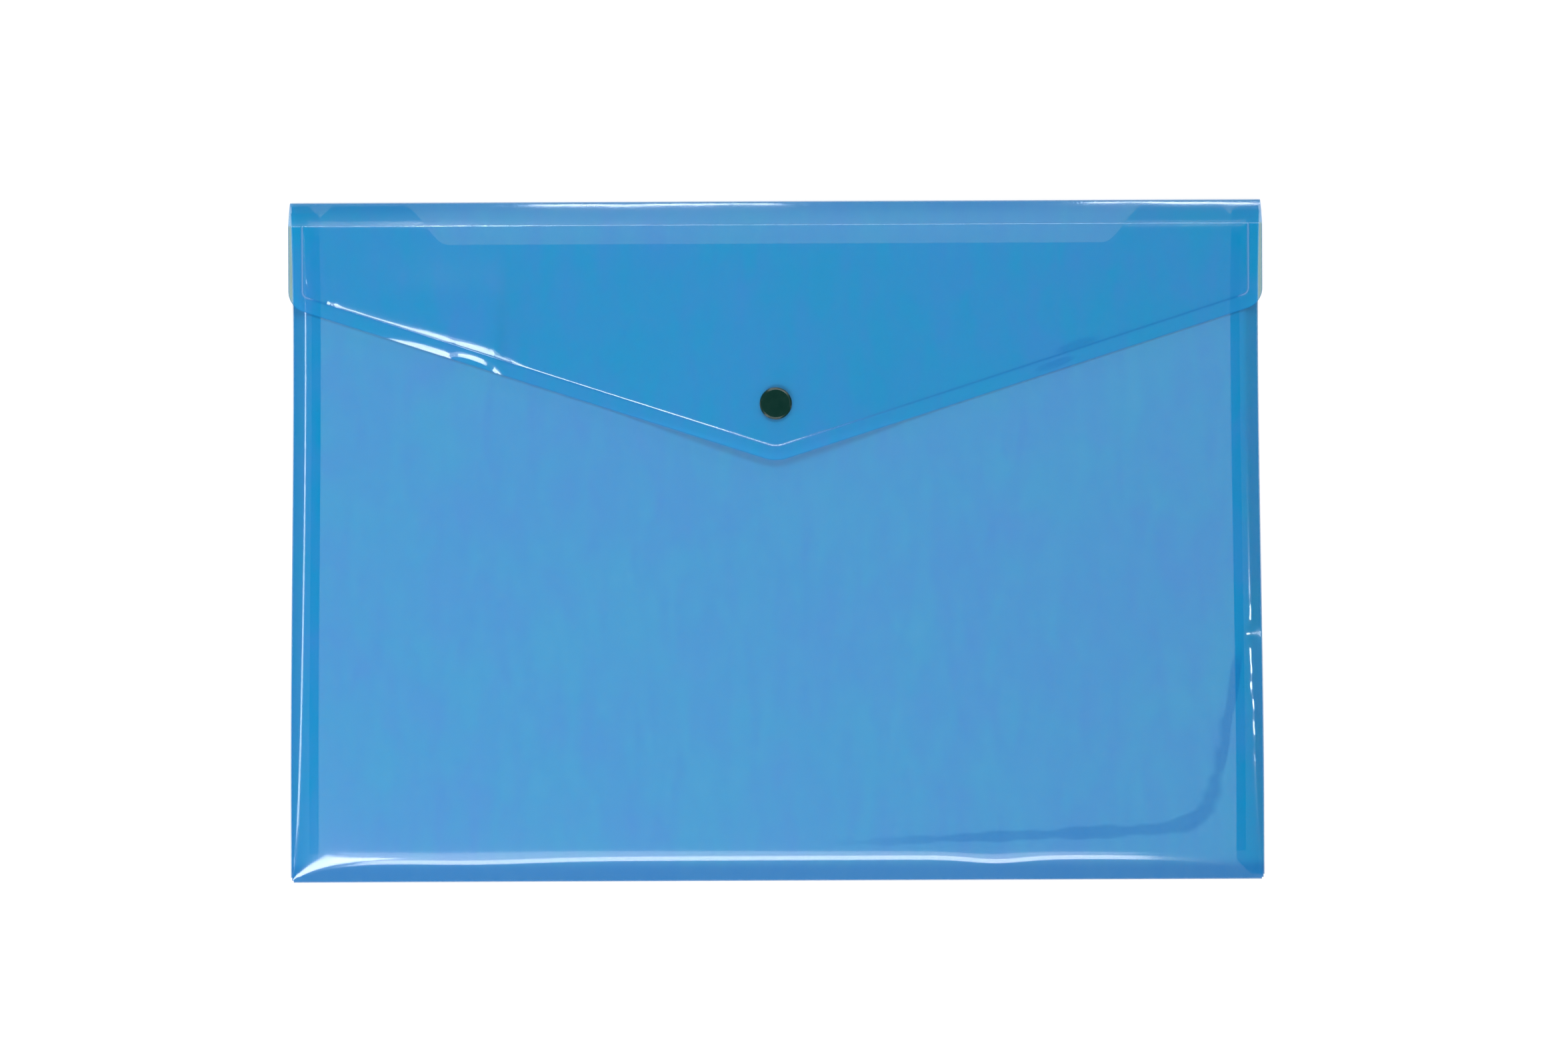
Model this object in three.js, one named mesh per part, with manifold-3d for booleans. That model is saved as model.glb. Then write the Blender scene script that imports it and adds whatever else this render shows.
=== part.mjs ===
// Seminar folder: a translucent polypropylene wallet for A4 papers, closed by a pointed flap and a press stud.
// It lies on its back panel with the flap closed. Units are millimetres.
// X runs along the top fold, Y points to the top fold and Z points up. The origin lies on the table, under the
// middle of the wallet.
import * as THREE from "three";
import { mergeVertices } from "three/addons/utils/BufferGeometryUtils.js";
import Module from "manifold-3d";

const wasm = await Module();
wasm.setup();

// Sheet and outline
const sheet = 0.3; // thickness of the polypropylene
const pocketWidth = 335; // across the side folds, at the bottom
const walletHeight = 234; // from the bottom fold to the top fold
const flapInset = 0.7; // how far the top fold, spine strip and flap stand in from each bottom corner
const waistDrawIn = 1.5; // how far the bulging pocket pulls in each side fold at its waist
const waistStart = 24; // height above the bottom fold where the side folds start to lean in
const waistHeight = 192; // height above the bottom fold where they are drawn in most

// Side tabs, folded in under the front panel and welded to the back panel
const tabWidth = 9.5;
const tabEndWidth = 4.6; // width left at the chamfered bottom end
const tabBottomGap = 1.8; // from the bottom fold to the tab's end
const tabTopGap = 3.5; // from the top fold to the tab's end
const sideFoldGap = 0.4; // open space inside the side fold
const weldBead = 0.3; // height of the melted seam
const weldWidth = 3.2;
const weldEndGap = 8; // from the tab's ends to the seam's ends

// Front panel, which bulges over the papers
const frontRise = 3.6; // from the folds up to the knee, where the panel turns flat
const crown = 0.9; // further rise in the middle
const sideSeam = 0.3; // gap between the front panel's edge and the side fold
const sideBand = 4.2; // sloping strip from the side fold to the knee
const bottomBand = 8.2; // sloping strip from the bottom fold to the knee
const cornerDip = 0.9; // share of the rise lost at the bottom corners
const cornerReachX = 13; // how fast the rise comes back along the bottom fold
const cornerReachY = 45; // and up the side fold
const mouthDepth = 15; // from the top fold down to the mouth's edge
const earDepth = 1.3; // from the top fold down to the ears beside the mouth
const earWidth = 39; // from the side to the curve that leads down to the mouth
const mouthCurve = 15.5; // width of that curve
const notchInset = 10.5; // from the side to the middle of the notch in the ear
const notchSize = 4; // depth and half width of the notch

// Spine strip and flap
const topFoldRadius = 1.15; // outside radius of the top fold
const spineDepth = 8.8; // from the top fold to the flap's crease
const creaseRadius = 0.5; // inside radius of the flap's crease
const flapGap = 0.4; // between the flap and the front panel
const flapSide = 27.3; // from the crease down the side, to where the slanted edge would meet it
const flapDepth = 80.5; // from the crease to the flap's tip
const flapCornerRadius = 7.2;
const flapTipRadius = 13;

// Press stud
const popperDrop = 61.2; // from the crease to the middle of the press stud
const popperSeat = 0.2; // gap under each piece of the press stud
const fit = 0.3; // radial gap round each post
const capDiameter = 11;
const capHeight = 1.4;
const capBevel = 0.5;
const postDiameter = 2.4;
const socketDiameter = 10;
const socketHeight = 1.9;
const socketWeb = 0.5; // the socket's wall under the flap
const ballDiameter = 4.6;
const ballNeck = 4;
const ballPlay = 0.3; // gap round the ball in its socket
const studFlange = 0.6;
const studDiameter = 10;
const backDiameter = 9.6;
const backHeight = 0.8;
const backPostRise = 0.7; // how far the back's post reaches into the stud

// Levels and lines that follow from the sizes above
const top = walletHeight / 2;
const bottom = -walletHeight / 2;
const halfWidth = pocketWidth / 2;
const halfFlap = halfWidth - flapInset;
const mouthHalf = halfWidth - earWidth - mouthCurve;
const notchPlace = halfWidth - notchInset;
const tabUnder = sheet + weldBead;
const frontEdgeUnder = tabUnder + sheet + sideFoldGap;
const frontEdgeTop = frontEdgeUnder + sheet;
const sideFoldRadius = (frontEdgeTop - tabUnder) / 2;
const bottomFoldRadius = frontEdgeTop / 2;
const bottomFoldLine = bottom + bottomFoldRadius;
const topFoldLine = top - topFoldRadius;
const creaseLine = top - spineDepth;
const plateau = frontEdgeTop + frontRise;
const creaseUnder = plateau + flapGap;
const creaseCentreZ = creaseUnder - creaseRadius;
const mouthLine = top - mouthDepth;
const earLine = top - earDepth;
const popperY = creaseLine - popperDrop;

// The spine strip's underside is the line that touches the insides of the top fold and the crease.
const spineRun = topFoldLine - creaseLine;
const spineClimb = creaseCentreZ - topFoldRadius;
const spineTurn = Math.asin((topFoldRadius - sheet - creaseRadius) / Math.hypot(spineRun, spineClimb));
const spineSlope = Math.atan2(spineClimb, spineRun) - spineTurn;

const clamp = (value, low, high) => Math.min(Math.max(value, low), high);
const smooth = (t) => t * t * (3 - 2 * t);
const mix = (a, b, t) => a + (b - a) * t;
const mirrored = (half) => [...half.map((x) => -x).reverse(), ...half.filter((x) => x > 0)];

// Where the side fold lies at a height, as a share of its place at the bottom.
function drawn(y) {
  const height = y - bottom;
  const lean = clamp((height - waistStart) / (waistHeight - waistStart), 0, 1);
  const back = clamp((height - waistHeight) / (walletHeight - waistHeight), 0, 1);
  return 1 - (waistDrawIn * lean - (waistDrawIn - flapInset) * back * back) / halfWidth;
}

// The mouth's edge: a straight recess, a curve up to each ear, and a small notch in the ear.
function mouthEdge(x) {
  const along = clamp((Math.abs(x) - mouthHalf) / mouthCurve, 0, 1);
  const notch = Math.max(0, notchSize - Math.abs(Math.abs(x) - notchPlace));
  return mix(mouthLine, earLine, smooth(along)) - notch;
}

// The slow rise towards the middle, which ends at the knees and at the flap's crease.
function crownHeight(x, y) {
  const low = bottom + bottomBand;
  const middle = (creaseLine + low) / 2;
  const along = clamp((y - middle) / (creaseLine - middle), -1, 1);
  const across = clamp(x / halfWidth, -1, 1);
  return crown * (1 - along * along) * (1 - across * across);
}

// Height of the front panel's outer face. x is counted as if the side folds were not drawn in.
function frontTop(x, y) {
  const fromSide = halfWidth - sideFoldRadius - sideSeam - Math.abs(x);
  const fromBottom = y - bottomFoldLine;
  const dip = cornerDip * Math.exp(-fromSide / cornerReachX - fromBottom / cornerReachY);
  const flat = frontRise * (1 - dip);
  const side = (frontRise * fromSide) / sideBand;
  const low = (frontRise * fromBottom) / bottomBand;
  const high = frontRise - Math.max(0, y - creaseLine) * Math.tan(spineSlope);
  const rise = Math.min(flat, side, low, high);
  return frontEdgeTop + rise + crownHeight(x, y) * clamp(rise / frontRise, 0, 1);
}

// Stack of the press stud, from inside the pocket to the cap on the flap
const frontAtPopper = frontTop(0, popperY);
const studUnder = frontAtPopper + popperSeat;
const socketUnder = studUnder + studFlange + popperSeat;
const socketTop = socketUnder + socketHeight;
const flapAtPopper = socketTop + popperSeat;
const capUnder = flapAtPopper + sheet + popperSeat;
const backTop = frontAtPopper - sheet - popperSeat;
const popperLift = flapAtPopper - frontAtPopper - flapGap;

// Height of the flap's underside, which the press stud holds up round itself.
function flapUnder(x, y) {
  const away = clamp(Math.hypot(x, y - popperY) / popperDrop, 0, 1);
  return creaseUnder + crownHeight(x, y) + popperLift * (1 - away * away) ** 2;
}

// Lower edge of the flap: a slanted line with a rounded tip and rounded outer corners.
const tipHalfAngle = solveTipAngle();
const tipCentreY = creaseLine - flapDepth + flapTipRadius;
const cornerCentreX = halfFlap - flapCornerRadius;

function solveTipAngle() {
  let angle = 0;
  for (let pass = 0; pass < 20; pass += 1) {
    const sharpTip = flapDepth + flapTipRadius * (1 / Math.cos(angle) - 1);
    angle = Math.atan2(sharpTip - flapSide, halfFlap);
  }
  return angle;
}

function slantedEdge(x) {
  return tipCentreY - flapTipRadius / Math.cos(tipHalfAngle) + Math.abs(x) * Math.tan(tipHalfAngle);
}

function flapEdge(x) {
  const out = Math.abs(x);
  if (out < flapTipRadius * Math.sin(tipHalfAngle)) {
    return tipCentreY - Math.sqrt(flapTipRadius ** 2 - out ** 2);
  }
  const cornerCentreY = slantedEdge(cornerCentreX) + flapCornerRadius / Math.cos(tipHalfAngle);
  if (out > cornerCentreX + flapCornerRadius * Math.sin(tipHalfAngle)) {
    const inside = Math.max(0, flapCornerRadius ** 2 - (out - cornerCentreX) ** 2);
    return cornerCentreY - Math.sqrt(inside);
  }
  return slantedEdge(x);
}

// Keeps the position only, merges the shared vertices, drops empty triangles and turns the faces outwards.
function tidy(geometry) {
  geometry.deleteAttribute("normal");
  geometry.deleteAttribute("uv");
  const merged = mergeVertices(geometry);
  const corners = merged.index.array;
  const point = (i) => new THREE.Vector3().fromBufferAttribute(merged.attributes.position, i);
  const kept = [];
  let volume = 0;
  for (let i = 0; i < corners.length; i += 3) {
    const [a, b, c] = corners.slice(i, i + 3);
    if (a === b || b === c || c === a) continue;
    kept.push([a, b, c]);
    volume += point(a).dot(point(b).cross(point(c)));
  }
  merged.setIndex(kept.flatMap(([a, b, c]) => (volume > 0 ? [a, b, c] : [a, c, b])));
  return merged;
}

// A closed sheet between two grids of points, with walls round its rim.
function sheetGeometry(rows, columns, outer, inner) {
  const positions = [];
  for (const face of [outer, inner]) {
    for (const row of rows) {
      for (const column of columns) positions.push(...face(row, column));
    }
  }
  const at = (layer, r, c) => (layer * rows.length + r) * columns.length + c;
  const indices = [];
  const quad = (a, b, c, d) => indices.push(a, b, c, a, c, d);
  const lastRow = rows.length - 1;
  const lastColumn = columns.length - 1;
  for (let r = 0; r < lastRow; r += 1) {
    for (let c = 0; c < lastColumn; c += 1) {
      quad(at(0, r, c), at(0, r, c + 1), at(0, r + 1, c + 1), at(0, r + 1, c));
      quad(at(1, r, c), at(1, r + 1, c), at(1, r + 1, c + 1), at(1, r, c + 1));
    }
    quad(at(0, r, 0), at(0, r + 1, 0), at(1, r + 1, 0), at(1, r, 0));
    quad(at(1, r, lastColumn), at(1, r + 1, lastColumn), at(0, r + 1, lastColumn), at(0, r, lastColumn));
  }
  for (let c = 0; c < lastColumn; c += 1) {
    quad(at(1, 0, c), at(1, 0, c + 1), at(0, 0, c + 1), at(0, 0, c));
    quad(at(0, lastRow, c), at(0, lastRow, c + 1), at(1, lastRow, c + 1), at(1, lastRow, c));
  }
  const geometry = new THREE.BufferGeometry();
  geometry.setAttribute("position", new THREE.Float32BufferAttribute(positions, 3));
  geometry.setIndex(indices);
  return tidy(geometry);
}

// A turned piece, from its profile as radius and height.
function turned(profile) {
  const points = profile.map(([radius, height]) => new THREE.Vector2(radius, height));
  return tidy(new THREE.LatheGeometry(points, 32).rotateX(Math.PI / 2));
}

function solid(geometry) {
  const vertProperties = new Float32Array(geometry.attributes.position.array);
  const triVerts = new Uint32Array(geometry.index.array);
  return new wasm.Manifold(new wasm.Mesh({ numProp: 3, vertProperties, triVerts }));
}

// Cuts a round hole for a post of the press stud through a sheet.
function punched(geometry, height) {
  const radius = postDiameter / 2 + fit;
  const drill = turned([[0, -sheet * 2], [radius, -sheet * 2], [radius, sheet * 2], [0, sheet * 2]]);
  drill.translate(0, popperY, height);
  const cut = solid(geometry).subtract(solid(drill)).getMesh();
  const result = new THREE.BufferGeometry();
  result.setAttribute("position", new THREE.BufferAttribute(cut.vertProperties, 3));
  result.setIndex(new THREE.BufferAttribute(cut.triVerts, 1));
  return result;
}

const arc = (from, to, steps) => Array.from({ length: steps + 1 }, (_, i) => mix(from, to, i / steps));
const steps = (from, to, count) => arc(from, to, count);

// Flat panel between two side lines, given as functions of y
function flatPiece(rows, leftEdge, rightEdge, under, over) {
  const place = (y, t) => mix(leftEdge(y), rightEdge(y), t);
  const upper = (y, t) => [place(y, t), y, over];
  const lower = (y, t) => [place(y, t), y, under];
  return sheetGeometry(rows, [0, 1], upper, lower);
}

const sideRows = (low, high) => {
  const bends = [bottom + waistStart, bottom + waistHeight, mix(bottom + waistHeight, high, 0.5)];
  return [low, ...bends.filter((y) => y > low && y < high), high];
};

const foldLine = (y) => (halfWidth - sideFoldRadius) * drawn(y);
const tabEnds = [bottom + tabBottomGap, top - tabTopGap];

function backPanel() {
  const edge = (y) => foldLine(y) + sideFoldRadius / 2;
  return flatPiece(sideRows(bottomFoldLine, topFoldLine), (y) => -edge(y), edge, 0, sheet);
}

function bottomFold() {
  const reach = foldLine(bottomFoldLine) - tabUnder;
  const at = (radius) => (angle, x) => [
    x,
    bottomFoldLine - radius * Math.cos(angle),
    bottomFoldRadius + radius * Math.sin(angle),
  ];
  const angles = arc(-Math.PI / 2, Math.PI / 2, 8);
  return sheetGeometry(angles, [-reach, reach], at(bottomFoldRadius), at(bottomFoldRadius - sheet));
}

function sideFold(side) {
  const centre = tabUnder + sideFoldRadius;
  const at = (radius) => (angle, y) => [
    side * (foldLine(y) + radius * Math.cos(angle)),
    y,
    centre + radius * Math.sin(angle),
  ];
  const angles = arc(-Math.PI / 2, Math.PI / 2, 8);
  return sheetGeometry(angles, sideRows(...tabEnds), at(sideFoldRadius), at(sideFoldRadius - sheet));
}

// The tab's width at a height: its bottom end is cut off slantwise.
function tabWidthAt(y) {
  return Math.min(tabWidth, tabEndWidth + y - tabEnds[0]);
}

function sideTab(side) {
  const chamfer = tabEnds[0] + tabWidth - tabEndWidth;
  const rows = [tabEnds[0], ...sideRows(chamfer, tabEnds[1])];
  const inner = (y) => side * ((halfWidth - tabWidthAt(y)) * drawn(y));
  const outer = (y) => side * foldLine(y);
  return flatPiece(rows, inner, outer, tabUnder, tabUnder + sheet);
}

function weldSeam(side) {
  const rows = sideRows(tabEnds[0] + weldEndGap, tabEnds[1] - weldEndGap);
  const inner = (y) => side * (halfWidth - tabWidth) * drawn(y);
  const outer = (y) => side * (halfWidth - tabWidth + weldWidth) * drawn(y);
  return flatPiece(rows, inner, outer, sheet, tabUnder);
}

function frontPanel() {
  const edge = halfWidth - sideFoldRadius - sideSeam;
  const notch = steps(notchPlace - notchSize, notchPlace + notchSize, 4);
  const curve = steps(mouthHalf, mouthHalf + mouthCurve, 8);
  const middle = steps(0, mouthHalf, 6).slice(0, -1);
  const ear = steps(mouthHalf + mouthCurve, notchPlace - notchSize, 3).slice(1, -1);
  const band = steps(edge - sideBand, edge, 4);
  const columns = mirrored([...middle, ...curve, ...ear, ...notch, ...band]);
  const bandRows = steps(bottomFoldLine, bottomFoldLine + bottomBand * 1.25, 5);
  const lastRow = mouthLine - mouthDepth / 2;
  const bodyRows = steps(bandRows.at(-1), lastRow, 8).slice(1);
  // The last rows follow the mouth's edge, and one of them follows the crease where there is an ear.
  const edgeRows = [1, 2, 3, 4];
  const depth = mouthDepth / 10;
  const rows = [...bandRows, ...bodyRows, ...edgeRows.map((part) => ({ part }))];
  const rowY = (row, x) => {
    if (typeof row === "number") return row;
    const rim = mouthEdge(x);
    const bend = Math.min(creaseLine, rim - depth);
    return [mix(lastRow, bend, 0.5), bend, mix(bend, rim, 0.5), rim][row.part - 1];
  };
  const at = (offset) => (row, x) => {
    const y = rowY(row, x);
    return [x * drawn(y), y, frontTop(x, y) - offset];
  };
  return punched(sheetGeometry(rows, columns, at(0), at(sheet)), frontAtPopper - sheet / 2);
}

function topFold() {
  const at = (radius) => (angle, x) => [
    x,
    topFoldLine + radius * Math.cos(angle),
    topFoldRadius + radius * Math.sin(angle),
  ];
  const angles = arc(-Math.PI / 2, Math.PI / 2 - spineSlope, 10);
  return sheetGeometry(angles, [-halfFlap, halfFlap], at(topFoldRadius), at(topFoldRadius - sheet));
}

// A point beside the spine strip: where it leaves the top fold or meets the crease, at a height over its underside.
function spinePoint(end, height) {
  const [y, z, radius] =
    end === "fold"
      ? [topFoldLine, topFoldRadius, topFoldRadius - sheet]
      : [creaseLine, creaseCentreZ, creaseRadius];
  const reach = radius + height;
  return [y + reach * Math.sin(spineSlope), z + reach * Math.cos(spineSlope)];
}

function spineStrip() {
  const at = (height) => (end, x) => [x, ...spinePoint(end, height)];
  return sheetGeometry(["crease", "fold"], [-halfFlap, halfFlap], at(sheet), at(0));
}

function flapCrease() {
  const at = (radius) => (angle, x) => [
    x,
    creaseLine + radius * Math.cos(angle),
    creaseCentreZ + radius * Math.sin(angle),
  ];
  const angles = arc(Math.PI / 2, Math.PI / 2 - spineSlope, 3);
  return sheetGeometry(angles, [-halfFlap, halfFlap], at(creaseRadius + sheet), at(creaseRadius));
}

function flapPanel() {
  const tip = flapTipRadius * Math.sin(tipHalfAngle);
  const cornerStart = cornerCentreX + flapCornerRadius * Math.sin(tipHalfAngle);
  const corner = arc(tipHalfAngle, Math.PI / 2, 6).map((a) => cornerCentreX + flapCornerRadius * Math.sin(a));
  const near = steps(tip, popperDrop, 6);
  const far = steps(popperDrop, cornerStart, 4).slice(1, -1);
  const columns = mirrored([...steps(0, tip, 2).slice(0, -1), ...near, ...far, ...corner]);
  const rows = steps(0, 1, 12);
  const at = (height) => (t, x) => {
    const y = mix(flapEdge(x), creaseLine, t);
    return [x, y, flapUnder(x, y) + height];
  };
  return punched(sheetGeometry(rows, columns, at(sheet), at(0)), flapAtPopper + sheet / 2);
}

// Cap with its post, which goes through the flap into the socket. Height 0 is the cap's underside.
function popperCap() {
  const radius = capDiameter / 2;
  const post = capUnder - (socketTop - socketWeb);
  return turned([
    [0, -post],
    [postDiameter / 2, -post],
    [postDiameter / 2, 0],
    [radius - capBevel / 2, 0],
    [radius, capBevel / 2],
    [radius, capHeight - capBevel],
    [radius - capBevel, capHeight],
    [0, capHeight],
  ]);
}

// Socket under the flap. Its cavity takes the stud's ball. Height 0 is its lower rim.
function popperSocket() {
  const hole = postDiameter / 2 + fit;
  const cavity = ballDiameter / 2 + ballPlay;
  const radius = socketDiameter / 2;
  const profile = [
    [hole, socketHeight],
    [hole, socketHeight - socketWeb],
    [cavity, socketHeight - socketWeb],
    [cavity, 0],
    [radius, 0],
    [radius, socketHeight],
  ];
  return turned([...profile, profile[0]]);
}

// Stud on the front panel, hollow for the post of its back. Height 0 is the flange's underside.
function popperStud() {
  const hole = postDiameter / 2 + fit;
  const cavityTop = socketTop - socketWeb - studUnder;
  const ballTop = cavityTop - ballPlay;
  const radius = ballDiameter / 2;
  const neck = ballNeck / 2;
  const shoulder = mix(studFlange, ballTop, 0.5);
  return turned([
    [0, backPostRise + fit],
    [hole, backPostRise + fit],
    [hole, 0],
    [studDiameter / 2, 0],
    [studDiameter / 2, studFlange],
    [neck, studFlange],
    [radius, shoulder],
    [radius - (ballTop - shoulder) / 2, ballTop],
    [0, ballTop],
  ]);
}

// Back of the stud, inside the pocket, with its post through the front panel. Height 0 is its lower face.
function popperBack() {
  const postTop = studUnder + backPostRise - (backTop - backHeight);
  const radius = backDiameter / 2;
  const bevel = backHeight / 4;
  return turned([
    [0, 0],
    [radius - bevel, 0],
    [radius, bevel],
    [radius, backHeight],
    [postDiameter / 2, backHeight],
    [postDiameter / 2, postTop],
    [0, postTop],
  ]);
}

const blueSheet = () =>
  new THREE.MeshStandardMaterial({ color: 0x3f9bdc, roughness: 0.25, metalness: 0, transparent: true, opacity: 0.7 });
const blueSeam = () =>
  new THREE.MeshStandardMaterial({ color: 0x2389cc, roughness: 0.4, metalness: 0, transparent: true, opacity: 0.85 });
const darkPlastic = () => new THREE.MeshStandardMaterial({ color: 0x173733, roughness: 0.3, metalness: 0 });

function piece(name, geometry, material, height = 0) {
  geometry.computeVertexNormals();
  const mesh = new THREE.Mesh(geometry, material);
  mesh.name = name;
  if (height) mesh.position.set(0, popperY, height);
  return mesh;
}

const pocket = new THREE.Group();
pocket.add(piece("back_panel", backPanel(), blueSheet()));
pocket.add(piece("front_panel", frontPanel(), blueSheet()));
pocket.add(piece("bottom_fold", bottomFold(), blueSheet()));
for (const [word, side] of [["left", -1], ["right", 1]]) {
  pocket.add(piece(`${word}_side_fold`, sideFold(side), blueSheet()));
  pocket.add(piece(`${word}_side_tab`, sideTab(side), blueSheet()));
  pocket.add(piece(`${word}_weld_seam`, weldSeam(side), blueSeam()));
}
pocket.add(piece("popper_stud", popperStud(), darkPlastic(), studUnder));
pocket.add(piece("popper_stud_back", popperBack(), darkPlastic(), backTop - backHeight));

const spine = new THREE.Group();
spine.add(piece("top_fold", topFold(), blueSheet()));
spine.add(piece("spine_strip", spineStrip(), blueSheet()));

const flap = new THREE.Group();
flap.add(piece("flap_crease", flapCrease(), blueSheet()));
flap.add(piece("flap_panel", flapPanel(), blueSheet()));
flap.add(piece("popper_cap", popperCap(), darkPlastic(), capUnder));
flap.add(piece("popper_socket", popperSocket(), darkPlastic(), socketUnder));

const folder = new THREE.Group();
folder.add(pocket, spine, flap);

export default folder;
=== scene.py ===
import math
from types import SimpleNamespace

import bpy
import numpy as np
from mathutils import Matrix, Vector


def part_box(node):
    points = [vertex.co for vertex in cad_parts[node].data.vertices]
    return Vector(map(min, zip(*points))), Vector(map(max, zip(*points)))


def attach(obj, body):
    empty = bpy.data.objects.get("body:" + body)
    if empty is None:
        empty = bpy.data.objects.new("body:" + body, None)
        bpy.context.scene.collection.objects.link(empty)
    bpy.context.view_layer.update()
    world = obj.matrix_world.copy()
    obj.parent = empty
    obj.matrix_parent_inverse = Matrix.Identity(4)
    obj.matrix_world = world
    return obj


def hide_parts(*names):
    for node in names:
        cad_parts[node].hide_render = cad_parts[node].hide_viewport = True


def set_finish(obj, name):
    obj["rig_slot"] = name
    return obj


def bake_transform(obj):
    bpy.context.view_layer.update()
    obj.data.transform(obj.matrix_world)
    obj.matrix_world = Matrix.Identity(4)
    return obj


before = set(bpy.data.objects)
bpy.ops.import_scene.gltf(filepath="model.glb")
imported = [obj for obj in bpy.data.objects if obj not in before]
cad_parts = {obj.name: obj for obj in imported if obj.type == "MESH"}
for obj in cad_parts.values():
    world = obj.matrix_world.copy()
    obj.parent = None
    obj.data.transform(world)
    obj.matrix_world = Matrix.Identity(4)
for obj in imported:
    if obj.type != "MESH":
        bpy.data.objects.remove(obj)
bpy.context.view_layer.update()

# Seminar folder: a translucent polypropylene wallet for A4 papers, with a pointed flap and a press stud.
# It lies on its back with the flap closed. X runs along the top fold, Y points to it and Z points up.
# Lengths are in metres, and MM turns a length in millimetres into metres.
bl_info = {
    "name": "Seminar folder",
    "version": (1, 0, 0),
    "blender": (4, 5, 0),
    "location": "3D View > Sidebar > Folder",
    "description": "Builds a translucent document wallet with a pointed flap and a press stud",
    "category": "Add Mesh",
}

MM = 0.001

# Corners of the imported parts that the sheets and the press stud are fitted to
BACK_LOW, BACK_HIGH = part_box("back_panel")
BOTTOM_FOLD_LOW, BOTTOM_FOLD_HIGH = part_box("bottom_fold")
SIDE_FOLD_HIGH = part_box("right_side_fold")[1]
TAB_LOW, TAB_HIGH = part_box("right_side_tab")
WELD_LOW, WELD_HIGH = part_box("right_weld_seam")
TOP_FOLD_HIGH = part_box("top_fold")[1]
FLAP_LOW, FLAP_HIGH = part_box("flap_panel")
CAP_LOW, CAP_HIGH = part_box("popper_cap")
SOCKET_LOW, SOCKET_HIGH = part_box("popper_socket")
STUD_LOW, STUD_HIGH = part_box("popper_stud")
STUD_BACK_LOW, STUD_BACK_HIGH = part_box("popper_stud_back")

# Pocket outline
WAIST_DRAW_IN = 1.5 * MM
WAIST_START = 24 * MM
WAIST_HEIGHT = 192 * MM
TAB_WIDTH = 9.5 * MM
TAB_END_WIDTH = 4.6 * MM
MOUTH_DEPTH = 15 * MM
EAR_DEPTH = 1.3 * MM
EAR_WIDTH = 39 * MM
MOUTH_CURVE = 15.5 * MM
NOTCH_INSET = 10.5 * MM
NOTCH_SIZE = 4 * MM

# Bulge of the front over the papers
SIDE_BAND = 5.0 * MM
BOTTOM_BAND = 8.2 * MM
SIDE_EASE = 1.2 * MM
BOTTOM_EASE = 1.8 * MM
TOP_EASE = 1.5 * MM
EASE_SHARE = 0.8
CORNER_DIP = 0.9
CORNER_REACH_X = 13 * MM
CORNER_REACH_Y = 45 * MM
RIDGE_POWER = 4
# Dents in the bottom knee: place along the fold, half width and share of the rise
BOTTOM_DENTS = ((-105 * MM, 30 * MM, 0.16), (75 * MM, 13 * MM, 0.2))
BOTTOM_DENT_REACH = 35 * MM
# Stretch of the right knee that was pressed, and its deepest place
DENT_LOW = -78 * MM
DENT_HIGH = -18 * MM
DENT_Y = -32.5 * MM
DENT_SHARE = 0.5
DENT_REACH = 3.2 * MM
DENT_FADE_LOW = 12 * MM
DENT_FADE_HIGH = 8 * MM
# Waves of the pressed stretch: share of the knee's place, length over a turn of 1 radian, and start
DENT_WAVES = ((0.1, 5.2 * MM, 1.0), (0.07, 1.9 * MM, 0.0))

# The dark band at the lower right, where the front clings to the papers' side: its corner, leans and width
BAND_CORNER_X = 148.3 * MM
BAND_CORNER_Y = -98.8 * MM
BAND_LEAN = 0.17
BAND_SAG = -0.038
BAND_CORNER = 6 * MM
BAND_WIDTH = 2.3 * MM
BAND_SOFTNESS = 0.6 * MM
BAND_START_X = 5 * MM
BAND_TOP_Y = -36 * MM
BAND_TOP_FADE = 9 * MM
BAND_FADE = 60 * MM
BAND_GROWTH = 120 * MM
BAND_FIRST_WIDTH = 0.5
BAND_TINT = 0.7
# Ripples of its width: share, and length over a turn of 1 radian along X and along Y
BAND_RIPPLES = ((0.14, 5.3 * MM, math.inf), (0.1, 2.1 * MM, 4.7 * MM))
# Depth of the painted shade, in the contact colour, on the sloping strips at the bottom fold and at the left
# and right side folds
BOTTOM_FOLD_SHADE = 0.88
LEFT_FOLD_SHADE = 0.35
RIGHT_FOLD_SHADE = 0.08

# Spine strip and flap
TOP_FOLD_RADIUS = 1.15 * MM
CREASE_RADIUS = 0.5 * MM
FLAP_GAP = 0.4 * MM
FLAP_SIDE = 27.3 * MM
FLAP_DEPTH = 80.5 * MM
FLAP_CORNER_RADIUS = 7.2 * MM
FLAP_TIP_RADIUS = 13 * MM
POPPER_DROP = 61.2 * MM
POPPER_GAP = 0.2 * MM
SEAM = 0.01 * MM
SPINE_CURVE = math.radians(4)
SPINE_WAVE = 0.02 * MM
# Waves along the strip: share, length over a turn of 1 radian, and start
SPINE_WAVES = ((1.0, 11 * MM, 0.0), (0.6, 4.3 * MM, 1.0))

# Border of the flap, outside its score line
SCORE_INSET = 4.8 * MM
SCORE_WIDTH = 0.3 * MM
SCORE_EASE = 1.2 * MM
# Painted shade: the score line is darkened with the contact colour, as shade in its groove.
SCORE_SHADE = 0.95
EDGE_WIDTH = 0.4 * MM
# The free edge is darker: partly the cut edge's own deeper colour, partly a painted shadow under the edge.
EDGE_TINT_AND_SHADOW = 0.8
CLING_TINT = 0.45
# The score line is paler, most of all along the flap's sides: partly stress whitening of the bend, partly a
# painted highlight.
WHITE_WIDTH = 0.25 * MM
WHITE_SIDES = 0.5
WHITE_TIP = 0.3
WHITE_TIP_REACH = 32 * MM
WHITE_START = 2 * MM
WHITE_FADE = 3 * MM
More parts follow.
